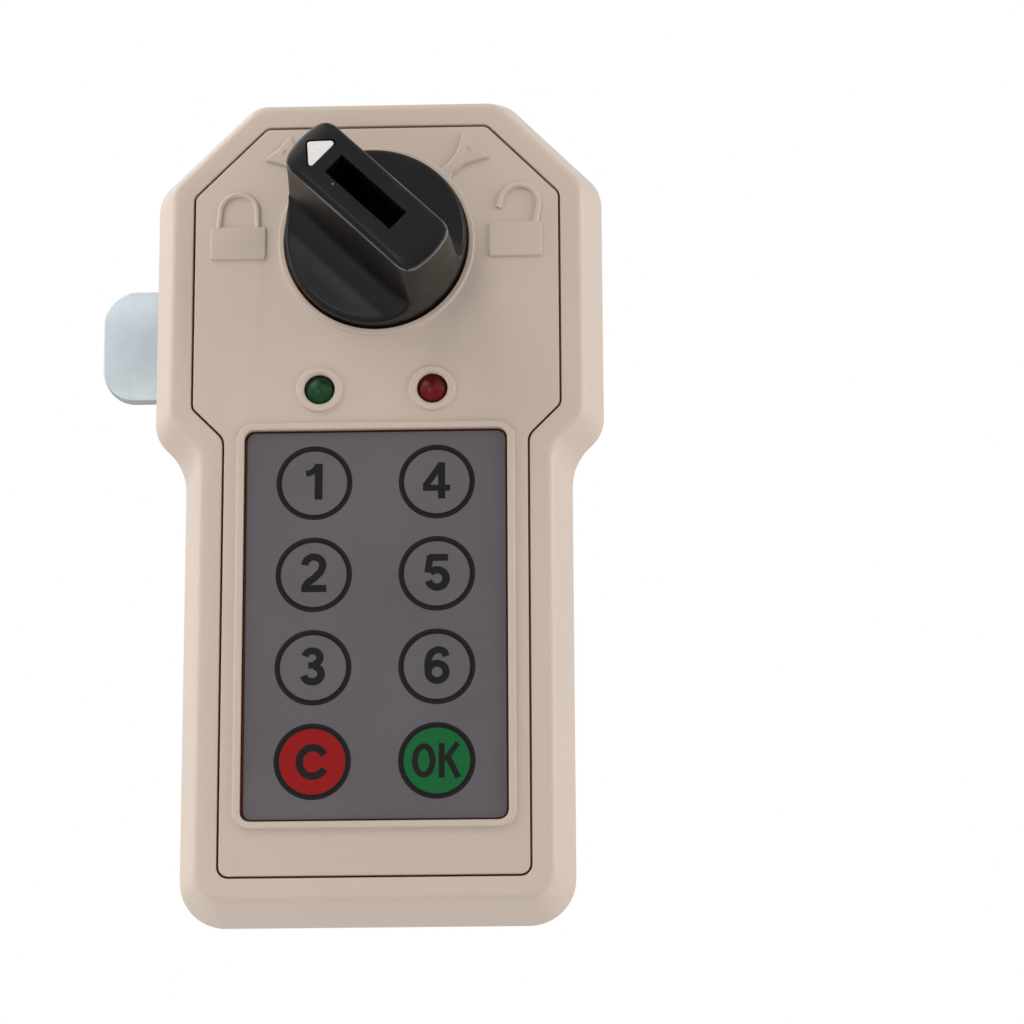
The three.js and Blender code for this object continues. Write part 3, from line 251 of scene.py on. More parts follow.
def gap_line(offset, steps=8):
    """The line between frame and panel, moved outwards; its two lowest corners grow rounder."""
    waist = 13.3
    right_side = [
        (LOWER_HALF, -PANEL_TOP),
        (LOWER_HALF, waist - UPPER_HALF + LOWER_HALF),
        (UPPER_HALF, waist),
        (UPPER_HALF, PANEL_TOP - 10.9),
        (UPPER_HALF - 10.9, PANEL_TOP),
    ]
    left_side = [(-x, z) for x, z in reversed(right_side)]

    def radius(hollow, z):
        if hollow:
            return 2.2 + abs(offset)
        growth = 0.84 if z < 0 else 0.65
        return 1.6 + growth * offset if offset > 0 else max(1.6 + offset, 0.3)

    return rounded(right_side + left_side, offset, radius, steps)


def solid(vertices, faces):
    """A closed working mesh, given in millimetres, its faces turned outwards."""
    mesh = bpy.data.meshes.new("working")
    mesh.from_pydata([Vector(v) * MM for v in vertices], [], faces)
    shape = bmesh.new()
    shape.from_mesh(mesh)
    bmesh.ops.remove_doubles(shape, verts=shape.verts, dist=1e-7)
    bmesh.ops.recalc_face_normals(shape, faces=shape.faces)
    shape.to_mesh(mesh)
    shape.free()
    made = bpy.data.objects.new("working", mesh)
    bpy.context.scene.collection.objects.link(made)
    return made


def skin(rows, ends="ring"):
    """Rows of equal point count joined by faces: a ring, or capped with flat ends or end points."""
    count = len(rows[0])
    vertices = [p for row in rows for p in row]
    faces = []
    last = len(rows) if ends == "ring" else len(rows) - 1
    for i in range(last):
        a, b = i * count, (i + 1) % len(rows) * count
        for j in range(count):
            k = (j + 1) % count
            faces.append((a + j, a + k, b + k, b + j))
    if ends == "flat":
        faces.append(tuple(range(count)))
        faces.append(tuple(range((len(rows) - 1) * count, len(rows) * count)))
    return solid(vertices, faces)


def bend(x, y, radius, start, end, steps=5):
    """Section points round a bend, as (offset, depth) pairs; angles in degrees."""
    return arc(x, y, radius, math.radians(start), math.radians(end), steps)


def turned(profile, centre, steps=96):
    """A (radius, depth) profile turned about an axis along the depth, from axis to axis."""
    x, z = centre
    rows = []
    for radius, y in profile:
        radius = max(radius, 1e-5)
        rows.append([(px, y, pz) for px, pz in arc(x, z, radius, 0, 2 * math.pi, steps)[:-1]])
    ring = abs(profile[0][0] - profile[-1][0]) + abs(profile[0][1] - profile[-1][1]) < 1e-9
    return skin(rows[:-1]) if ring else skin(rows, "flat")


def shrunk(points, inset):
    """A closed outline moved inwards, point by point."""
    made = []
    for i, p in enumerate(points):
        before, here, after = Vector(points[i - 1]), Vector(p), Vector(points[(i + 1) % len(points)])
        into, out = (here - before).normalized(), (after - here).normalized()
        normal = Vector((into.y + out.y, -into.x - out.x))
        length = max(1 + into.dot(out), 0.2)
        made.append(tuple(here - normal / length * inset))
    return made


def plate(points, front, back, soft=0.0, soft_back=0.0):
    """An outline carried through the depth, its front and back edges softened."""
    steps = 4
    rows = []
    for i in range(steps + 1 if soft else 1):
        a = math.pi / 2 * i / steps
        rows.append((soft * (1 - math.sin(a)), front + soft * (1 - math.cos(a))))
    for i in range(steps + 1 if soft_back else 1):
        a = math.pi / 2 * i / steps
        rows.append((soft_back * (1 - math.cos(a)), back - soft_back * (1 - math.sin(a))))
    made = []
    for inset, y in rows:
        made.append([(x, y, z) for x, z in (shrunk(points, inset) if inset else points)])
    return skin(made, "flat")


def carve(target, operation, *tools):
    """Adds tools to a working mesh or takes them away, and uses them up."""
    for tool in tools:
        change = target.modifiers.new("carve", "BOOLEAN")
        change.operation = operation
        change.solver = "MANIFOLD"
        change.object = tool
        depsgraph = bpy.context.evaluated_depsgraph_get()
        mesh = bpy.data.meshes.new_from_object(target.evaluated_get(depsgraph))
        target.modifiers.clear()
        target.data = mesh
        bpy.data.objects.remove(tool)
    return target


def joined(first, *others):
    """Working meshes put together as one object, each shell left whole."""
    shape = bmesh.new()
    for part in (first, *others):
        shape.from_mesh(part.data)
    shape.to_mesh(first.data)
    shape.free()
    for part in others:
        bpy.data.objects.remove(part)
    return first


def fit(made, name, body, finish, stands_for=(), crease=32):
    """Names a finished working mesh, gives it its surface and sets it on its body, if it has one."""
    made.name = name
    made.data.name = name
    shape = bmesh.new()
    shape.from_mesh(made.data)
    bmesh.ops.remove_doubles(shape, verts=shape.verts, dist=2e-7)
    bmesh.ops.dissolve_degenerate(shape, edges=shape.edges, dist=1e-7)
    shape.to_mesh(made.data)
    shape.free()
    made.data.materials.clear()
    made.data.materials.append(finish.material)
    made.data.polygons.foreach_set("use_smooth", [True] * len(made.data.polygons))
    made.data.set_sharp_from_angle(angle=math.radians(crease))
    if body:
        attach(made, body)
    if stands_for:
        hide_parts(*stands_for)
    return made


def moulded(name, low, high, rough=0.46, gloss=0.45, painted_recess_tone=None):
    """Moulded plastic: a slow drift of tone, a fine spark-eroded grain and a satin surface.

    The last argument is a warmer tone painted on what lies below the front face: painted warm shade in
    slits and recesses."""
    made = Finish(name)
    drift = made.noise(22, 3)
    tone = made.mixed(drift.span(0.3, 0.7), low, high)
    if painted_recess_tone:
        # Painted warm shade: surfaces that lie below the front face take the warmer tone.
        below = made.along("Y").span((FACE_Y + 0.05) * MM, (FACE_Y + 0.5) * MM)
        tone = made.mixed(below, tone, painted_recess_tone)
    grain = made.noise(5200, 2)
    orange_peel = made.noise(700, 1)
    height = grain * 0.5 + orange_peel * 0.5
    return made.shows(
        Base_Color=tone,
        Roughness=rough + 0.08 * (grain - 0.5),
        Specular_IOR_Level=gloss,
        Normal=made.relief(height, 0.00002, 0.5),
    )


def grown(name, host, tree, **values):
    """Runs a node tree on a working mesh, keeps what it makes as a plain mesh and drops the tree."""
    change = host.modifiers.new(name, "NODES")
    change.node_group = tree.tree
    for item in tree.tree.interface.items_tree:
        if item.in_out == "INPUT" and item.name in values:
            change[item.identifier] = values[item.name]
    depsgraph = bpy.context.evaluated_depsgraph_get()
    mesh = bpy.data.meshes.new_from_object(host.evaluated_get(depsgraph))
    host.modifiers.clear()
    host.data = mesh
    shape = bmesh.new()
    shape.from_mesh(mesh)
    bmesh.ops.recalc_face_normals(shape, faces=shape.faces)
    shape.to_mesh(mesh)
    shape.free()
    return host


def node_tree(name, inputs):
    """An empty node tree for shapes, with its inputs by name, and a way to end it."""
    tree = bpy.data.node_groups.new(name, "GeometryNodeTree")
    for label, kind in {"Places": "Geometry", **inputs, "Material": "Material"}.items():
        tree.interface.new_socket(label, in_out="INPUT", socket_type="NodeSocket" + kind)
    tree.interface.new_socket("Shape", in_out="OUTPUT", socket_type="NodeSocketGeometry")
    made = Graph(tree)
    entry = tree.nodes.new("NodeGroupInput")
    given = {label: Value(made, entry.outputs[label]) for label in ("Places", *inputs, "Material")}

    def finish(shape):
        real = made.node("GeometryNodeRealizeInstances", None, {"Geometry": shape})
        values = {"Geometry": real, "Material": given["Material"]}
        coated = made.node("GeometryNodeSetMaterial", None, values)
        tree.links.new(coated.socket, tree.nodes.new("NodeGroupOutput").inputs["Shape"])
        return made

    return made, given, finish


def copies(name):
    """A tree that sets a working piece on every point, each turned its own way about the depth."""
    made, given, finish = node_tree(name, {"Piece": "Object", "Turn": "Float", "Seed": "Int"})
    limits = {3: given["Turn"], 8: given["Seed"]}
    random = made.node("FunctionNodeRandomValue", {"data_type": "FLOAT"}, limits, out=1)
    turn = made.node("ShaderNodeCombineXYZ", None, {1: random})
    piece = made.node("GeometryNodeObjectInfo", None, {"Object": given["Piece"]}, out=4)
    spread = {"Points": given["Places"], "Instance": piece, "Rotation": turn}
    return finish(made.node("GeometryNodeInstanceOnPoints", None, spread))


def repeated(name, unit, places, finish, turn=0.0):
    """One mesh with a copy of a working piece on each place, given as (x, depth, z)."""
    host = solid(places, [])
    values = {"Piece": unit, "Turn": turn, "Seed": 3, "Material": finish.material}
    made = grown(name, host, copies(name), **values)
    bpy.data.objects.remove(unit)
    return made


beige = moulded("beige_housing", shade(189, 173, 159), shade(191, 175, 161))
band_flat, edge_round, reach, wall = 2.6, 1.3, 6.4, 2.2
PANEL_BACK = FACE_Y + 2.4
ledge_front, ledge_back = PANEL_BACK + GAP, PANEL_BACK + GAP + 1.4
lean = math.degrees(math.atan2(reach - band_flat - edge_round, -(FACE_Y + edge_round)))
inner = reach - wall
frame_section = [
    (GAP / 2, ledge_front),
    *bend(GAP / 2 + 0.2, FACE_Y + 0.2, 0.2, 180, 270, 4),
    *bend(band_flat, FACE_Y + edge_round, edge_round, -90, -lean, 12),
    *bend(reach - 0.24, -0.2, 0.2, -lean, 90, 4),
    (inner, 0),
    (inner - 1.3, ledge_back),
    (-1.6, ledge_back),
    (-1.6, ledge_front),
]
frame_rows = [[(x, y, z) for x, z in gap_line(offset, 12)] for offset, y in frame_section]
housing = skin(frame_rows)
boss_bore, boss_radius, boss_end = 0.9, 2, ledge_back - 0.3
boss_profile = [
    (boss_bore, -0.15),
    (boss_bore + 0.15, 0),
    (boss_radius - 0.1, 0),
    (boss_radius, -0.1),
    (boss_radius, boss_end),
    (boss_bore, boss_end),
    (boss_bore, -0.15),
]
boss_spots = ((UPPER_HALF + 1.75, 32), (LOWER_HALF + 1.75, -44))
boss_places = [(side * x, 0, z) for side in (-1, 1) for x, z in boss_spots]
bosses = repeated("door_bosses", turned(boss_profile, (0, 0), 40), boss_places, beige)
joined(housing, bosses)
fit(housing, "housing_shell", "housing", beige, ["front_housing"])

# Front panel
# Moulded panel that drops into the frame and leaves a thin dark gap. It carries a raised collar
# round the knob, one round each lamp, a raised rim round the key field, and moulded signs.
# Painted warm shade for the panel's slits, hole walls and gap walls below its front face.
painted_recess_warmth = shade(158, 92, 64)
panel_plastic = moulded("beige_panel", shade(185, 169, 155), shade(188, 172, 158), painted_recess_tone=painted_recess_warmth)
FIELD_Z, FIELD_HALF_X, FIELD_HALF_Z = -19.875, 19.6, 29.475
LAMP_X, LAMP_Z = 8.44, 15.9


def rounded_box(x, z, half_width, half_height, radius, steps=8):
    signs = ((1, -1), (1, 1), (-1, 1), (-1, -1))
    corners = [(x + sx * half_width, z + sz * half_height) for sx, sz in signs]
    return rounded(corners, 0, lambda hollow, z: radius, steps)


def round_bar(radius, front, back, centre, steps=96):
    return turned([(0, front), (radius, front), (radius, back), (0, back)], centre, steps)


def collar(inner_radius, width, rise, chamfer, centre, steps=96):
    """A raised ring with a chamfered inner edge, a soft crown and a small fillet at its outer foot."""
    outer = inner_radius + width
    crown = min(rise, width / 2) * 0.6
    section = [
        (inner_radius, FACE_Y + 0.4),
        (inner_radius, FACE_Y - rise + chamfer),
        (inner_radius + chamfer * 0.9, FACE_Y - rise),
        *bend(outer - crown, FACE_Y - rise + crown, crown, -90, -12, 6),
        *bend(outer + 0.1, FACE_Y - 0.1, 0.1, 168, 90, 4),
        (outer + 0.15, FACE_Y + 0.4),
    ]
    return turned([*section, section[0]], centre, steps)


panel = plate(gap_line(-GAP / 2, 10), FACE_Y, PANEL_BACK, 0.22, 0.1)


def field_line(offset):
    return rounded_box(0, FIELD_Z, FIELD_HALF_X + offset, FIELD_HALF_Z + offset, 1.5 + offset)


rim_width, rim_rise = 1.1, 0.7
rim_section = [
    (0, FACE_Y + 0.4),
    *bend(0.25, FACE_Y - rim_rise + 0.25, 0.25, 180, 270, 4),
    *bend(rim_width - 0.3, FACE_Y - rim_rise + 0.3, 0.3, -90, -10, 6),
    *bend(rim_width + 0.12, FACE_Y - 0.12, 0.12, 170, 90, 4),
    (rim_width + 0.2, FACE_Y + 0.4),
]
rim = skin([[(x, y, z) for x, z in field_line(offset)] for offset, y in rim_section])
KNOB_POCKET = 13.95
lamp_hole = 2.3
knob_collar = collar(KNOB_POCKET, 0.9, 0.55, 0.12, knob_axis, 160)
lamp_collars = [collar(lamp_hole, 1.2, 0.5, 0.3, (side * LAMP_X, LAMP_Z), 64) for side in (-1, 1)]
carve(panel, "UNION", rim, knob_collar, *lamp_collars)

KEY_X, KEY_TOP_Z, KEY_PITCH = 9.1, 1.5, 14
KEYS = {}
for x, column in (
    (-KEY_X, ("key_1", "key_2", "key_3", "key_clear")),
    (KEY_X, ("key_4", "key_5", "key_6", "key_ok")),
):
    for row, name in enumerate(column):
        KEYS[name] = (x, KEY_TOP_Z - KEY_PITCH * row)
pocket = plate(field_line(0), FACE_Y - 2, FACE_Y + 0.7)
trench_floor = FACE_Y + 1.8
trench_section = ((0, FACE_Y), (0, trench_floor), (-0.6, trench_floor), (-0.6, FACE_Y))
trench = skin([[(x, y, z) for x, z in field_line(offset)] for offset, y in trench_section])
openings = [pocket, trench, round_bar(KNOB_POCKET, FACE_Y - 2, FACE_Y + 1.3, knob_axis, 160)]
openings += [round_bar(9, FACE_Y, 0, knob_axis)]
openings += [round_bar(lamp_hole, FACE_Y - 2, 0, (side * LAMP_X, LAMP_Z), 64) for side in (-1, 1)]
openings += [round_bar(5.4, FACE_Y, 0, centre, 64) for centre in KEYS.values()]
carve(panel, "DIFFERENCE", *openings)


def ribbon(path, width, front, back, closed=False, soft=0.0):
    """A stroke of even width along a path, as a thin solid; soft rounds its front edges."""
    count = len(path)
    rows = []
    for i, p in enumerate(path):
        here = Vector(p)
        before = Vector(path[i - 1]) if closed or i else here
        after = Vector(path[(i + 1) % count]) if closed or i < count - 1 else here
        into = (here - before).normalized() if (here - before).length else (after - here).normalized()
        out = (after - here).normalized() if (after - here).length else into
        normal = Vector((into.y + out.y, -into.x - out.x)) / max(1 + into.dot(out), 0.3)
        half = width / 2
        section = [(half, back)]
        if soft:
            edge = [(soft * (1 - math.cos(a)), soft * (1 - math.sin(a))) for a in (0, 0.5, 1.05, 1.57)]
            section += [(half - inward, front + behind) for inward, behind in edge]
            section += [(-half + inward, front + behind) for inward, behind in reversed(edge)]
        else:
            section += [(half, front), (-half, front)]
        section += [(-half, back)]
        rows.append([(here.x + normal.x * s, y, here.y + normal.y * s) for s, y in section])
    return skin(rows, "ring" if closed else "flat")


def smooth_path(points, steps=6):
    """A smooth line through a few points."""
    ends = [points[0], *points, points[-1]]
    made = []
    for a, b, c, d in zip(ends, ends[1:], ends[2:], ends[3:]):
        for i in range(steps):
            t = i / steps
            shares = (
                (2 * t**2 - t**3 - t) / 2,
                (2 - 5 * t**2 + 3 * t**3) / 2,
                (t + 4 * t**2 - 3 * t**3) / 2,
                (t**3 - t**2) / 2,
            )
            made.append(tuple(sum(k * v for k, v in zip(shares, axis)) for axis in zip(a, b, c, d)))
    return [*made, tuple(points[-1])]


SIGN_FRONT, SIGN_BACK = FACE_Y - 0.5, FACE_Y + 0.3


def padlock_body(x, z, width, height):
    box = rounded_box(x, z, width / 2, height / 2, 0.5, 5)
    return plate(box, SIGN_FRONT + 0.08, SIGN_BACK, 0.3)


def fan(side):
    """A narrow stem that leaves the collar and flares out to two tips; side mirrors it."""
    corners = [
        (10.9, 47.9),
        (11.5, 49.6),
        (13.1, 50.95),
        (15.44, 51.75),
        (17.35, 52.2),
        (14.94, 54.05),
        (13.0, 56.5),
        (12.45, 53.8),
        (11.1, 51.6),
        (9.2, 50.0),
    ]
    if side < 0:
        corners = [(-x, z) for x, z in reversed(corners)]
    outline = rounded(corners, 0, lambda hollow, z: 1.2 if hollow else 0.36, 6)
    made = plate(outline, SIGN_FRONT, SIGN_BACK, 0.34)
    dent = [(side * 13.74, 53.95), (side * 13.74, 53.05), (side * 14.55, 53.05)]
    dent = rounded(dent if side > 0 else dent[::-1], 0, lambda hollow, z: 0.12, 3)
    return carve(made, "DIFFERENCE", plate(dent, SIGN_FRONT - 1, SIGN_FRONT + 0.1))


closed_bow = [
    (-23.95, 41.4),
    (-23.72, 43.2),
    *bend(-20.88, 44.02, 2.8, 178, 2, 20),
    (-18.06, 43.2),
    (-18.0, 41.4),
]
open_bow = [(24.0, 41.5), *bend(21.6, 44.83, 2.88, -8, 166, 22), (18.4, 44.15)]
signs = {
    "sign_closed_body": padlock_body(-20.93, 39.06, 8.52, 5.22),
    "sign_closed_bow": ribbon(closed_bow, 0.95, SIGN_FRONT, SIGN_BACK, soft=0.42),
    "sign_open_body": padlock_body(20.96, 39.135, 8.12, 5.47),
    "sign_open_bow": ribbon(open_bow, 0.95, SIGN_FRONT, SIGN_BACK, soft=0.42),
    "sign_fan_right": fan(1),
    "sign_fan_left": fan(-1),
}
for name, sign in signs.items():
    fit(sign, name, "housing", panel_plastic)

# Pegs behind the panel: four long posts that take the case screws, bosses for the board and for the
# lock cylinder. Each is a plain moulded tube with a pilot hole.
TOWERS = [(-18, 46), (18, 46), (-15.7, -51.3), (15.7, -51.3)]
BOARD_SCREWS = [(-14.2, 19.5), (14.2, 19.5), (-14.2, -33.5), (14.2, -33.5)]


def peg(outer, bore, end, depth, centre):
    root, chamfer = PANEL_BACK - 0.3, 0.15
    profile = [
        (0, root),
        (outer, root),
        (outer, end - chamfer),
        (outer - chamfer, end),
        (bore, end),
        (bore, end - depth),
        (0, end - depth),
    ]
    return turned(profile, centre, 28)


pegs = [peg(2.3, 1.3, 3.7, 7, place) for place in TOWERS]
pegs += [peg(1.6, 1.1, -4.5, 1.2, place) for place in BOARD_SCREWS]
pegs += [peg(2.5, 1.2, PANEL_BACK + 3, 3, (side * 18.5, KNOB_Z)) for side in (-1, 1)]
joined(panel, *pegs)
fit(panel, "panel_shell", "housing", panel_plastic, ["front_panel"])

# Key field
# Grey printed film in a shallow pocket. Each key is a round cap let into it, and a dark ring printed
# round the key hides the joint. Digits, C and OK are printed dark on the caps.
film_grey = Finish("film_grey")
film_tone = film_grey.mixed(film_grey.noise(60, 3).span(0.3, 0.7), shade(86, 81, 84), shade(91, 86, 89))
film_speck = film_grey.noise(9000, 1)
film_grey.shows(
    Base_Color=film_grey.mixed(film_speck.span(0.72, 0.8, 0, 0.25), film_tone, shade(112, 108, 110)),
    Roughness=0.46 + 0.1 * (film_grey.noise(1400) - 0.5),
    Specular_IOR_Level=0.2,
    Normal=film_grey.relief(film_grey.noise(6000, 1), 0.00001, 0.4),
)


def ink(name, low, high, rough=0.45):
    made = Finish(name)
    speck = made.noise(4200, 2)
    tone = made.mixed(speck.span(0.35, 0.65), low, high)
    return made.shows(
        Base_Color=tone,
        Roughness=rough + 0.1 * (speck - 0.5),
        Specular_IOR_Level=0.13,
        Normal=made.relief(speck, 0.00001, 0.3),
    )


dark_ink = ink("dark_ink", shade(12, 11, 11), shade(18, 16, 17))
key_red = ink("key_red", shade(130, 10, 12), shade(138, 16, 17))
key_green = ink("key_green", shade(8, 84, 40), shade(16, 92, 46))
FILM_Y = FACE_Y + 0.1
film = plate(rounded_box(0.08, FIELD_Z, 19.22, FIELD_HALF_Z - 0.34, 1.25), FILM_Y, FILM_Y + 0.4, 0.06)
carve(film, "DIFFERENCE", *[round_bar(5.16, FACE_Y - 1, 0, centre, 96) for centre in KEYS.values()])
fit(film, "film_face", "housing", film_grey, ["keypad_overlay"])

PRINT_Y = FILM_Y - 0.02


def oval(x, z, half_width, half_height, degrees):
    turns = [math.radians(a) for a in degrees]
    return [(x + half_width * math.cos(a), z + half_height * math.sin(a)) for a in turns]


def glyph_strokes(name):
    """Strokes of one printed sign: (path, width, closed), in millimetres about the key's centre."""
    if name == "key_1":
        flag = smooth_path([(0.55, 2.5), (0.1, 1.85), (-0.55, 1.4), (-1.25, 1.2)])
        return [([(0.62, -2.72), (0.62, 2.72)], 1.1, False), (flag, 0.85, False)]
    if name == "key_2":
        path = bend(0.0, 1.2, 1.25, 178, -20, 16)
        path += smooth_path([(0.95, 0.25), (0.1, -0.65), (-0.8, -1.35), (-1.2, -2.1)])
        return [(path, 1.02, False), ([(-1.72, -2.22), (1.78, -2.22)], 1.0, False)]
    if name == "key_3":
        upper = bend(-0.08, 1.28, 0.98, 168, -78, 16)
        lower = bend(-0.08, -1.12, 1.14, 78, -168, 18)
        return [(upper, 0.98, False), (lower, 1.02, False), ([(-0.6, 0.14), (0.2, 0.14)], 0.86, False)]
    if name == "key_4":
        return [
            ([(0.72, -2.72), (0.72, 2.72)], 1.05, False),
            ([(0.62, 2.4), (-1.75, -0.9)], 0.95, False),
            ([(-2.05, -1.1), (2.0, -1.1)], 0.92, False),
        ]
    if name == "key_5":
        bowl = bend(0.05, -0.88, 1.28, 140, -165, 20)
        return [
            ([(-1.1, 2.22), (1.6, 2.22)], 0.98, False),
            ([(-0.92, 2.5), (-1.28, 0.0)], 0.95, False),
            (bowl, 1.04, False),
        ]
    if name == "key_6":
        loop = oval(0.04, -0.95, 1.28, 1.24, range(0, 360, 12))
        rise = [(-1.24, -0.8), (-1.26, 0.5), (-0.8, 1.75), (0.15, 2.24), (1.0, 1.98), (1.32, 1.3)]
        return [(loop, 1.0, True), (smooth_path(rise), 1.0, False)]
    if name == "key_clear":
        return [(oval(0.05, 0, 1.78, 2.16, range(30, 331, 10)), 1.08, False)]
    return [
        (oval(-1.95, 0, 1.32, 2.2, range(0, 360, 10)), 0.98, True),
        ([(0.72, -2.68), (0.72, 2.68)], 0.98, False),
        ([(3.15, 2.68), (1.2, 0.0)], 0.92, False),
        ([(1.55, 0.75), (3.2, -2.68)], 1.0, False),
    ]


# For each sign: its width, its height, how far it sits above the key's centre, and its weight.
SIGN_SHAPE = {
    "key_1": (1.0, 1.01, 0.22, 1.06),
    "key_2": (1.06, 1.03, 0.2, 1.06),
    "key_3": (1.15, 1.03, 0.2, 1.08),
    "key_4": (1.0, 1.02, 0.16, 1.0),
    "key_5": (1.04, 1.03, 0.12, 1.06),
    "key_6": (1.03, 1.04, 0.14, 1.04),
    "key_clear": (1.1, 0.98, -0.04, 1.0),
    "key_ok": (0.98, 0.96, 0, 0.88),
}
CAP_LOOKS = {"key_clear": (key_red, "key_red"), "key_ok": (key_green, "key_green")}
cap_radius, cap_back, stem_radius, stem_end = 5.1, FILM_Y + 0.9, 2.5, -5.65
cap_profile = [
    (0, FILM_Y),
    (cap_radius - 0.015, FILM_Y),
    (cap_radius, FILM_Y + 0.015),
    (cap_radius, cap_back),
    (stem_radius, cap_back),
    (stem_radius, stem_end),
    (0, stem_end),
]
print_back, lip_end = FILM_Y + 0.01, FILM_Y + 0.3
inner_ring = [
    (4.86, PRINT_Y),
    (cap_radius, PRINT_Y),
    (cap_radius, lip_end),
    (5.06, lip_end),
    (5.06, print_back),
    (4.86, print_back),
    (4.86, PRINT_Y),
]
outer_ring = [
    (5.15, PRINT_Y),
    (5.66, PRINT_Y),
    (5.66, print_back),
    (5.2, print_back),
    (5.2, lip_end),
    (5.15, lip_end),
    (5.15, PRINT_Y),
]
for name, (x, z) in KEYS.items():
    body = name + "_cap"
    colour, slot = CAP_LOOKS.get(name, (film_grey, "key_grey"))
    fit(turned(cap_profile, (x, z)), name + "_face", body, colour, [name])
    fit(turned(inner_ring, (x, z)), name + "_ring", body, dark_ink)
    wide, high, lift, weight = SIGN_SHAPE[name]
    strokes = []
    for path, width, closed in glyph_strokes(name):
        moved = [(x + px * wide, z + pz * high + lift) for px, pz in path]
        strokes.append(ribbon(moved, width * weight, PRINT_Y, print_back, closed))
    sign = strokes[0]
    if len(strokes) > 1:
        carve(sign, "UNION", *strokes[1:])
    fit(sign, name + "_sign", body, dark_ink)

ring_places = [(x, 0, z) for x, z in KEYS.values()]
rings = repeated("printed_rings", turned(outer_ring, (0, 0)), ring_places, dark_ink)
fit(rings, "printed_rings", "housing", dark_ink)

# Indicator lamps
# Two tinted plastic lamps that look out through their collars. Each has a clear dome with painted
# shade, darker towards the top, and two paler painted highlights in it.
lamp_radius, dome_depth, lamp_rise = 2.1, 0.8, 0.6
flange_radius, flange_front, flange_back = 2.9, -5.5, -4.6
dome_radius = (lamp_radius**2 + dome_depth**2) / (2 * dome_depth)
for side, name, top, low, painted_glint_tone in (
    (-1, "led_green", shade(20, 48, 25), shade(15, 58, 28), shade(54, 92, 68)),
    (1, "led_red", shade(76, 11, 12), shade(98, 10, 10), shade(122, 44, 43)),
):
    lens_plastic = Finish(name + "_lens")
    across, height = lens_plastic.along("X"), lens_plastic.along("Z")
    # Painted shade: the lens is darker towards the top.
    rise = height.span((LAMP_Z - 1.5) * MM, (LAMP_Z + 1.6) * MM)
    tone = lens_plastic.mixed(rise, low, top)
    # Two paler painted highlights, to the left and right of the dome's centre.
    painted_glints = 0.0
    for shift, lift in ((-0.8, 0.3), (0.95, 0.1)):
        aside, above = across - (side * LAMP_X + shift) * MM, height - (LAMP_Z + lift) * MM
        away = (aside**2 + above**2) ** 0.5
        painted_glints = painted_glints + away.span(0.0002, 0.00085, 0.35, 0)
    ripple = lens_plastic.noise(1500, 2).span(0.3, 0.7, 0.5, 1)
    lens_plastic.shows(
        Base_Color=lens_plastic.mixed(painted_glints * ripple, tone, painted_glint_tone),
        Roughness=0.2 + 0.1 * ripple,
        Specular_IOR_Level=0.15,
    )
    reach_angle = math.asin(lamp_radius / dome_radius)
    profile = []
    for i in range(13):
        a = reach_angle * i / 12
        drop = dome_radius * (1 - math.cos(a))
        profile.append((dome_radius * math.sin(a), FACE_Y - lamp_rise + drop))
    profile += [(lamp_radius, flange_front), (flange_radius, flange_front)]
    profile += [(flange_radius, flange_back), (0, flange_back)]
    slot = "lamp_green" if side < 0 else "lamp_red"
    fit(turned(profile, (side * LAMP_X, LAMP_Z), 64), name + "_dome", "housing", lens_plastic, [name])

# Knob
# Black moulded turning knob: a round base with a tall grip across it. The grip's long sides stand up
# from the flat of the base in a hollow curve, its ends run into the round wall, and its top is
# crowned all round. A key slot and a white pointer are let into the top.
knob_black = Finish("knob_black")
smudge = knob_black.noise(160, 4)
grains = {"Vector": knob_black.coordinates, "Scale": 260}
dust = knob_black.node("ShaderNodeTexVoronoi", None, grains).span(0.02, 0.05, 1, 0)
sparse = knob_black.noise(120, 0).span(0.6, 0.64)
knob_tone = knob_black.mixed(smudge.span(0.3, 0.7), shade(14, 13, 13), shade(20, 18, 18))
sides = {axis: knob_black.along(axis) for axis in "XYZ"}
REST = math.radians(136.5)
from_axis = (sides["X"] ** 2 + (sides["Z"] - KNOB_Z * MM) ** 2) ** 0.5
across_grip = (sides["X"] * -math.sin(REST) + (sides["Z"] - KNOB_Z * MM) * math.cos(REST)) ** 2
# A paler painted highlight line follows the grip's upper edge.
outer_edge = from_axis.span(0.01275, 0.01295).most(across_grip.span(0.0042**2, 0.0044**2))
band = sides["Y"].span(-0.02912, -0.02896) * sides["Y"].span(-0.02886, -0.0287, 1, 0)
painted_edge_highlight = band * outer_edge * smudge.span(0.3, 0.6, 0.2, 0.5)
knob_tone = knob_black.mixed(painted_edge_highlight, knob_tone, shade(150, 146, 142))
knob_black.shows(
    Base_Color=knob_black.mixed(dust * sparse * 0.5, knob_tone, shade(190, 188, 184)),
    Roughness=0.33 + 0.14 * (smudge - 0.5),
    Specular_IOR_Level=0.17,
    Normal=knob_black.relief(knob_black.noise(3800, 2), 0.00001, 0.35),
)
KNOB_RADIUS, KNOB_HEIGHT = 13.65, 21.3
GRIP_HALF, GRIP_DRAFT, COVE, BASE_HEIGHT = 4.8, 0.25, 4.0, 3.2
GRIP_TOP = FACE_Y - KNOB_HEIGHT
CROWN_SIDE, CROWN_END, CROWN_DROP, GRIP_EDGE = 1.25, 3, 0.5, 0.4
TOP_CORNER, FOOT_CORNER = 2.4, 0.5


def knob_point(along, across):
    x = along * math.cos(REST) - across * math.sin(REST)
    z = along * math.sin(REST) + across * math.cos(REST)
    return (x, KNOB_Z + z)


def grip_reach(angle, half, end, corner):
    """Distance from the axis to a long outline with round ends and rounded corners."""
    along, across = abs(math.cos(angle)), abs(math.sin(angle))
    corner_z = half - corner
    corner_x = math.sqrt((end - corner) ** 2 - corner_z**2)
    dot = along * corner_x + across * corner_z
    rest = dot * dot - (corner_x**2 + corner_z**2 - corner**2)
    far = dot + math.sqrt(rest) if rest > 0 else 0
    at_corner = along * far > corner_x and across * corner_x > along * corner_z
    return far if at_corner else min(end, half / max(across, 1e-6))


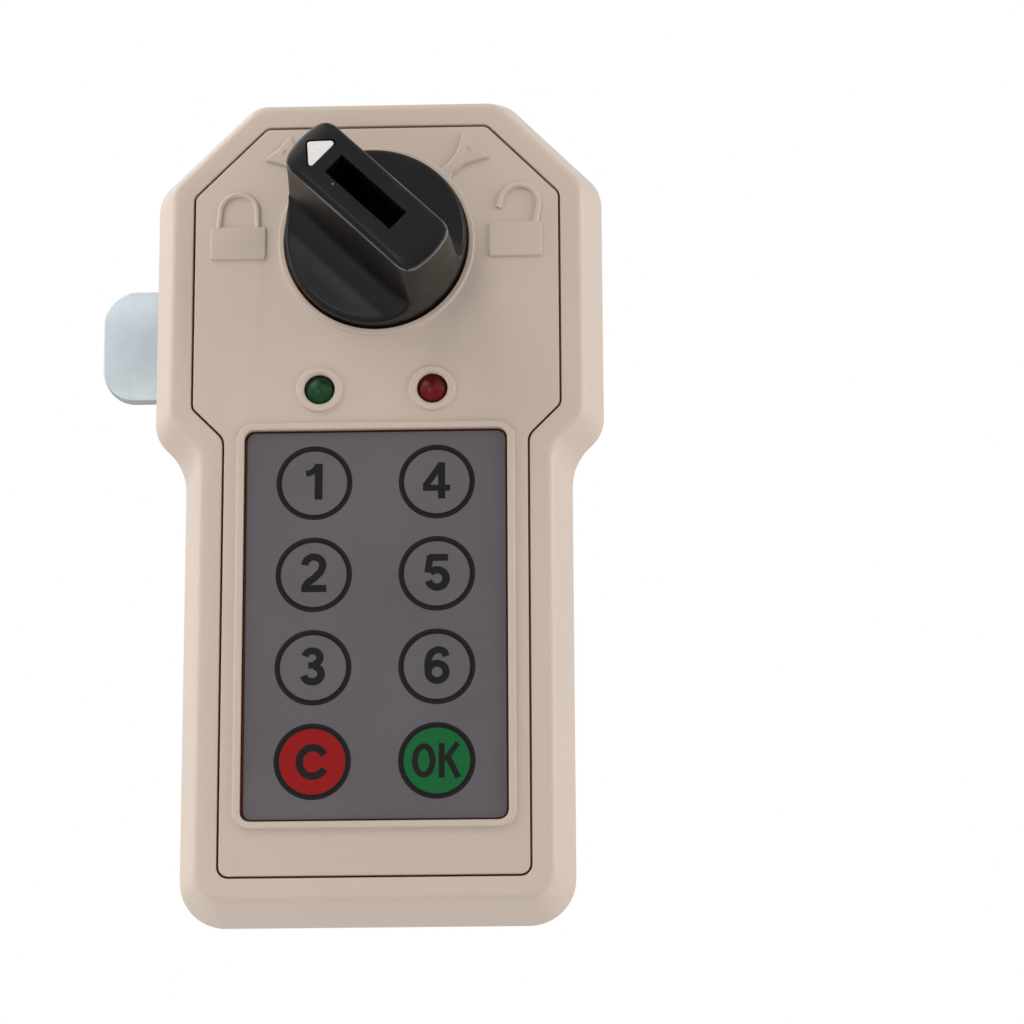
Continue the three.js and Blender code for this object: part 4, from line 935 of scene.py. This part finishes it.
def base_top(across):
    """Depth of the base's upper side: a little dished, then turning up into the grip."""
    dish, slope = 0.4, 0.17
    span = KNOB_RADIUS - GRIP_HALF - GRIP_DRAFT - COVE
    inward = min(max(KNOB_RADIUS - abs(across), 0), span) / span
    climb = min(max(GRIP_HALF + GRIP_DRAFT + COVE - abs(across), 0), COVE)
    curve = (COVE - slope * COVE) * (1 - math.sqrt(1 - (climb / COVE) ** 2))
    return FACE_Y - BASE_HEIGHT + dish / 2 - dish * inward**2 - slope * climb - curve


def quarter(steps):
    """Sine and one minus cosine over a quarter turn, without its start."""
    angles = [math.pi / 2 * k / steps for k in range(1, steps + 1)]
    return [(math.sin(a), 1 - math.cos(a)) for a in angles]


first_quarter = [2.0 * i for i in range(7)] + [13 + 0.75 * i for i in range(22)]
first_quarter += [30 + 2.5 * i for i in range(24)]
turns = first_quarter + [180 - a for a in reversed(first_quarter[1:])]
turns += [180 + a for a in turns]
skirt = 0.9
# Each row runs out from the axis over the crowned top, the grip's soft edge and its wall, the hollow
# curve, the base and its rim, and back to the axis underneath. Where an end of the grip reaches the
# round wall, what is left of the base falls away steeply.
knob_rows = []
for angle in (math.radians(a) for a in turns):
    along, across = math.cos(angle), math.sin(angle)
    top = grip_reach(angle, GRIP_HALF, KNOB_RADIUS - GRIP_DRAFT, TOP_CORNER)
    foot = grip_reach(angle, GRIP_HALF + GRIP_DRAFT, KNOB_RADIUS, FOOT_CORNER)
    foot = min(foot, KNOB_RADIUS - 0.03)
    crown_wide = min(CROWN_SIDE / max(abs(across), 1e-6), CROWN_END / max(abs(along), 1e-6))
    rim = max(foot + 0.01, KNOB_RADIUS - skirt)
    steep = 30 if foot > KNOB_RADIUS - 0.04 else 0
    stations = [(1e-5, GRIP_TOP), ((top - crown_wide) / 2, GRIP_TOP), (top - crown_wide, GRIP_TOP)]
    for share in (0.25, 0.5, 0.75, 1):
        radius = top - crown_wide + (crown_wide - 0.12) * share
        stations.append((radius, GRIP_TOP + CROWN_DROP * share * share))
    for a in (math.radians(degrees) for degrees in (50, 60, 70, 80, 90)):
        drop = GRIP_EDGE * (math.cos(math.radians(44)) - math.cos(a))
        stations.append((top - GRIP_EDGE * (1 - math.sin(a)), GRIP_TOP + CROWN_DROP + drop))
    wall_top, wall_foot = stations[-1][1], base_top(foot * across)
    for share in (0.02, 0.15, 0.35, 0.6, 0.8, 1):
        stations.append((top + (foot - top) * share, wall_top + (wall_foot - wall_top) * share))
    cove_end = min((GRIP_HALF + GRIP_DRAFT + COVE) / max(abs(across), 1e-6), rim)
    for s, c in quarter(14):
        radius = foot + (cove_end - foot) * c
        stations.append((radius, base_top(radius * across) + steep * (radius - foot)))
    for share in (1 / 3, 2 / 3, 1):
        radius = cove_end + (rim - cove_end) * share + 1e-4 * share
        stations.append((radius, base_top(radius * across) + steep * (radius - foot)))
    rim_y = stations[-1][1]
    edge = KNOB_RADIUS - rim
    stations += [(rim + edge * s, rim_y + edge * (c + steep * s)) for s, c in quarter(6)]
    stations += [(KNOB_RADIUS, FACE_Y + 1), (1e-5, FACE_Y + 1)]
    row = []
    for radius, y in stations:
        x, z = knob_point(radius * along, radius * across)
        row.append((x, y, z))
    knob_rows.append(row)
knob = skin(knob_rows)
pointer_corners = [knob_point(12.11, -0.09), knob_point(9.02, 2.77), knob_point(8.96, -3.15)]
pointer = solid([], [])
pointer.data = knob.data.copy()
pointer_line = rounded(pointer_corners, 0, lambda hollow, z: 0.38, 5)
carve(pointer, "INTERSECT", plate(pointer_line, GRIP_TOP - 2, GRIP_TOP + 0.9))
seat = rounded(pointer_corners, 0.27, lambda hollow, z: 0.6, 5)
carve(knob, "DIFFERENCE", plate(seat, GRIP_TOP - 2, GRIP_TOP + 0.95))


def slot_line(grow):
    """The key slot's outline, widened on every side."""
    left, right_end, low, high = -6.05 - grow, 6.97 + grow, -2.05 - grow, 1.45 + grow
    corners = ((left, low), (right_end, low), (right_end, high), (left, high))
    return [knob_point(along, across) for along, across in corners]


slot_rows = [(0.35, GRIP_TOP - 0.25), (0.1, GRIP_TOP), (0, GRIP_TOP + 0.12), (0, FACE_Y - 2.5)]
key_slot = skin([[(x, y, z) for x, z in slot_line(grow)] for grow, y in slot_rows], "flat")
carve(knob, "DIFFERENCE", key_slot)
fit(knob, "knob_shell", "knob_assembly", knob_black, ["knob"], 38)
hub = round_bar(7.3, FACE_Y + 0.7, -1, knob_axis, 64)
carve(hub, "DIFFERENCE", round_bar(6, FACE_Y, 0, knob_axis, 64))
fit(hub, "knob_hub", "knob_assembly", knob_black)

pointer_white = ink("pointer_white", shade(214, 211, 208), shade(224, 221, 218), 0.4)
fit(pointer, "pointer_face", "knob_assembly", pointer_white, ["pointer_insert"])

# Cam
# Stamped steel plate with bright zinc plating, held on the spindle's square behind the housing. Its
# plating is mottled, with faint streaks from handling.
zinc = Finish("zinc_plate")
cloud = zinc.noise(90, 4)
streak = zinc.noise(420, 3, (1, 1, 0.12))
zinc_tone = zinc.mixed(cloud.span(0.3, 0.7), shade(152, 159, 163), shade(169, 176, 179))
zinc.shows(
    Base_Color=zinc.mixed(streak.span(0.62, 0.75, 0, 0.35), zinc_tone, shade(150, 158, 164)),
    Metallic=0.85,
    Roughness=0.38 + 0.2 * (streak - 0.5),
    Normal=zinc.relief(streak, 0.00002, 0.3),
)
cam_tip, cam_half, cam_disc, tip_corner = -48.8, 9.4, 11, 5.3
cam_front, cam_back, square_half = 44.6, 46.9, 3.9
join_angle = math.asin(cam_half / cam_disc)
tip_centre = cam_tip + tip_corner
cam_line = arc(0, KNOB_Z, cam_disc, -math.pi + join_angle, math.pi - join_angle, 60)
cam_line += arc(tip_centre, KNOB_Z + cam_half - tip_corner, tip_corner, math.pi / 2, math.pi, 14)
cam_line += arc(tip_centre, KNOB_Z - cam_half + tip_corner, tip_corner, math.pi, 1.5 * math.pi, 14)
cam = plate(cam_line, cam_front, cam_back, 0.25, 0.15)
square_line = rounded_box(0, KNOB_Z, square_half, square_half, 0.7, 3)
carve(cam, "DIFFERENCE", plate(square_line, 40, 50))
fit(cam, "cam_plate", "knob_assembly", zinc, ["cam"])

# Rear case and battery cover
# Black moulded tub that passes through the door, with the sliding cover of its battery bay. The
# solids are right as they are; their edges are softened.
case_black = moulded("case_black", shade(34, 34, 35), shade(40, 40, 41), 0.5)


def dress(node, finish, soft=0.0):
    """Gives a solid its surface, and softens its edges where asked."""
    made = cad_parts[node]
    for place in made.material_slots:
        place.material = finish.material
    if soft:
        weld = made.modifiers.new("weld", "WELD")
        weld.merge_threshold = 1e-6
        edge = made.modifiers.new("edge", "BEVEL")
        edge.width = soft * MM
        edge.segments = 2
        edge.limit_method = "ANGLE"
        edge.angle_limit = math.radians(50)


dress("rear_case", case_black, 0.25)
dress("battery_cover", case_black, 0.2)
arrow_line = rounded([(0, -36.5), (3.4, -31.4), (-3.4, -31.4)], 0, lambda hollow, z: 0.4, 4)
fit(plate(arrow_line, 33.5, 34.05, 0, 0.25), "cover_arrow", "cover", case_black)

# Lock cylinder, spindle and fixings
# Turned steel and brass pieces on the knob's axis, and the screws that hold the case together.


def lathed(name, low, high, rough):
    """Turned metal, with fine marks round the axis."""
    made = Finish(name)
    marks = made.noise(900, 2, (1, 6, 1))
    tone = made.mixed(marks, low, high)
    return made.shows(Base_Color=tone, Metallic=1.0, Roughness=rough + 0.15 * marks)


steel = lathed("turned_steel", shade(176, 176, 178), shade(196, 196, 197), 0.3)
brass = lathed("turned_brass", shade(190, 152, 92), shade(206, 170, 108), 0.32)
for node in ("lock_cylinder", "locking_disc", "cam_washer", "cam_screw"):
    dress(node, steel, 0.1)
dress("key_plug", brass, 0.1)
for node in ("spindle", "stop_washer"):
    dress(node, zinc, 0.1)

# Bush that carries the spindle: a flange, and behind it a raised wall left open over a quarter turn.
bush_wide, bush_bore, bush_seat, bush_back = 7.5, 5.3, 34.3, 41.8
bush_front, bush_flange, wall_bore = 30.6, 9.8, 6.3
bush_section = [
    (bush_bore, bush_front),
    *bend(bush_wide - 0.2, bush_front + 0.2, 0.2, -90, 0, 2),
    (bush_wide, bush_seat),
    *bend(bush_flange, bush_seat + 0.2, 0.2, -90, 0, 2),
    *bend(bush_flange, bush_seat + 1.2, 0.2, 0, 90, 2),
    (bush_wide, bush_seat + 1.4),
    *bend(bush_wide - 0.2, bush_back + 1.6, 0.2, 0, 90, 2),
    (wall_bore, bush_back + 1.8),
    (wall_bore, bush_back),
    (bush_bore, bush_back),
]
bush = turned([*bush_section, bush_section[0]], knob_axis, 72)
swing = math.asin(2.3 / wall_bore)
opening = [knob_axis, *arc(*knob_axis, 10, math.pi / 2 - swing, math.pi + swing, 24)]
carve(bush, "DIFFERENCE", plate(opening, bush_back + 0.01, 45))
fit(bush, "bush", "housing", brass, ["spindle_bush"])


def screws(name, head_radius, head_thick, shank, length, seat, places):
    """Small screws with a cross recess and a thread, each turned its own way, on their seats."""
    pitch, groove = 0.7, 0.22
    profile = [(0, -length), (shank * 0.4, -length)]
    for i in range(int((length - shank) / pitch)):
        y = -length + shank * 0.8 + i * pitch
        profile += [(shank - groove, y), (shank, y + pitch * 0.4), (shank - groove, y + pitch * 0.8)]
    profile += [(shank - groove, 0), (head_radius, 0), (head_radius, head_thick * 0.4)]
    profile += [(head_radius * (1 - c), head_thick * (0.4 + 0.6 * s)) for s, c in quarter(6)[:4]]
    profile += [(0, head_thick * 0.97)]
    unit = turned(profile, (0, 0), 28)
    arm, half = head_radius * 0.62, head_radius * 0.13
    for wide, high in ((arm, half), (half, arm)):
        cross = rounded_box(0, 0, wide, high, half / 2, 2)
        carve(unit, "DIFFERENCE", plate(cross, head_thick * 0.35, head_thick * 2))
    made = repeated(name, unit, [(x, seat, z) for x, z in places], zinc, 6.28)
    nodes = [f"{name}_{i + 1}" for i in range(len(places))]
    fit(made, name + "s", "housing", zinc, nodes)


screws("case_screw", 1.85, 1.4, 1.0, 7.0, 5.9, TOWERS)
screws("board_screw", 1.7, 0.8, 0.75, 3.4, -2.3, BOARD_SCREWS)
screws("cylinder_screw", 2.2, 1.3, 0.9, 3.4, -0.4, [(-18.5, KNOB_Z), (18.5, KNOB_Z)])

# Board, batteries and solenoid
# What works behind the panel: printed board with its chip and buzzer, metal domes under the keys,
# round cells between sprung contacts, and the solenoid whose plunger locks the disc.
board_green = moulded("board_green", shade(22, 92, 58), shade(28, 104, 66), 0.4)
dark_plastic = moulded("dark_plastic", shade(26, 26, 27), shade(32, 32, 33), 0.55)
copper = Finish("wound_copper")
strands = {"Vector": copper.coordinates, "Scale": 1600}
wire_marks = copper.node("ShaderNodeTexWave", {"bands_direction": "Z"}, strands)
copper.shows(
    Base_Color=copper.mixed(wire_marks, shade(150, 78, 44), shade(206, 128, 84)),
    Metallic=0.9,
    Roughness=0.35,
)
sleeve = Finish("cell_sleeve")
label = sleeve.along("Z").span(-0.0125, -0.0115)
sleeve.shows(
    Base_Color=sleeve.mixed(label, shade(44, 48, 56), shade(168, 170, 172)),
    Roughness=0.3 + 0.1 * sleeve.noise(800),
    Metallic=0.2,
)
red_lead = moulded("red_lead", shade(150, 30, 28), shade(164, 38, 34), 0.45)


def wound(name):
    """A tree that winds a wire round an upright axis."""
    sizes = ("Turns", "Coil radius", "Wire radius", "Height")
    made, given, finish = node_tree(name, {**dict.fromkeys(sizes, "Float"), "Foot": "Vector"})
    spiral = {
        "Resolution": 20,
        "Rotations": given["Turns"],
        "Start Radius": given["Coil radius"],
        "End Radius": given["Coil radius"],
        "Height": given["Height"],
    }
    line = made.node("GeometryNodeCurveSpiral", None, spiral)
    circle = {"Resolution": 6, "Radius": given["Wire radius"]}
    wire = made.node("GeometryNodeCurvePrimitiveCircle", None, circle)
    ends = {"Curve": line, "Profile Curve": wire, "Fill Caps": True}
    body = made.node("GeometryNodeCurveToMesh", None, ends)
    moved = {"Geometry": body, "Translation": given["Foot"]}
    return finish(made.node("GeometryNodeTransform", None, moved))


def winding(name, finish, turns, sizes, foot, stands_for=(), body="housing"):
    """A wire wound round an upright axis; sizes are its coil radius, wire radius and height."""
    radius, wire, height = (size * MM for size in sizes)
    values = {"Turns": turns, "Coil radius": radius, "Wire radius": wire, "Height": height}
    values |= {"Foot": [v * MM for v in foot], "Material": finish.material}
    host = grown(name, solid([foot], []), wound(name), **values)
    return fit(host, name, body, finish, stands_for, 60)


COIL_Y = 21.75
spring_foot = (0, COIL_Y, 8.52)
spring = winding(
    "return_spring", steel, 5.0, (1.85, 0.3, 3.35), spring_foot, ["plunger_spring"], None
)
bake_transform(spring)
winding("coil_winding", copper, 24.0, (6.36, 0.24, 12.2), (0, COIL_Y, 9.5))
contacts = [f"contact_{end}_{side}" for end in ("top", "bottom") for side in ("left", "right")]
for finish, nodes in (
    (board_green, ["main_board"]),
    (dark_plastic, ["controller_chip", "buzzer", "battery_lead_negative"]),
    (red_lead, ["battery_lead_positive"]),
    (steel, ["dome_sheet", "solenoid_plunger", *contacts]),
    (zinc, ["solenoid_frame"]),
    (copper, ["solenoid_coil"]),
):
    for node in nodes:
        dress(node, finish)

# Four round cells on end, two with the cap up and two with it down: sleeves rolled in at both ends.
CELL_TOP, CELL_LENGTH = 1.1, 48.5
cell_profile = [(0, 0), (4.6, 0), (4.75, 0.3), (6.1, 0.3), *bend(6.5, 0.5, 0.5, -100, 0, 5)]
cell_profile += [*bend(6.4, 46.3, 0.6, 0, 90, 5), (3.3, 46.8), (2.8, 47.1), (2.6, 48.3)]
cell_profile += [(2.4, CELL_LENGTH), (0, CELL_LENGTH)]


def cell(up):
    rows = []
    for radius, height in cell_profile:
        z = CELL_TOP - CELL_LENGTH + height if up else CELL_TOP - height
        rows.append([(x, y, z) for x, y in arc(0, 0, max(radius, 1e-5), 0, 2 * math.pi, 48)[:-1]])
    return skin(rows, "flat")


for name, up, depth, nodes in (("cells_up", True, 9.9, (1, 3)), ("cells_down", False, 24.4, (2, 4))):
    pair = repeated(name, cell(up), [(-7.35, depth, 0), (7.35, depth, 0)], sleeve)
    fit(pair, name, "housing", sleeve, [f"battery_{i}" for i in nodes])
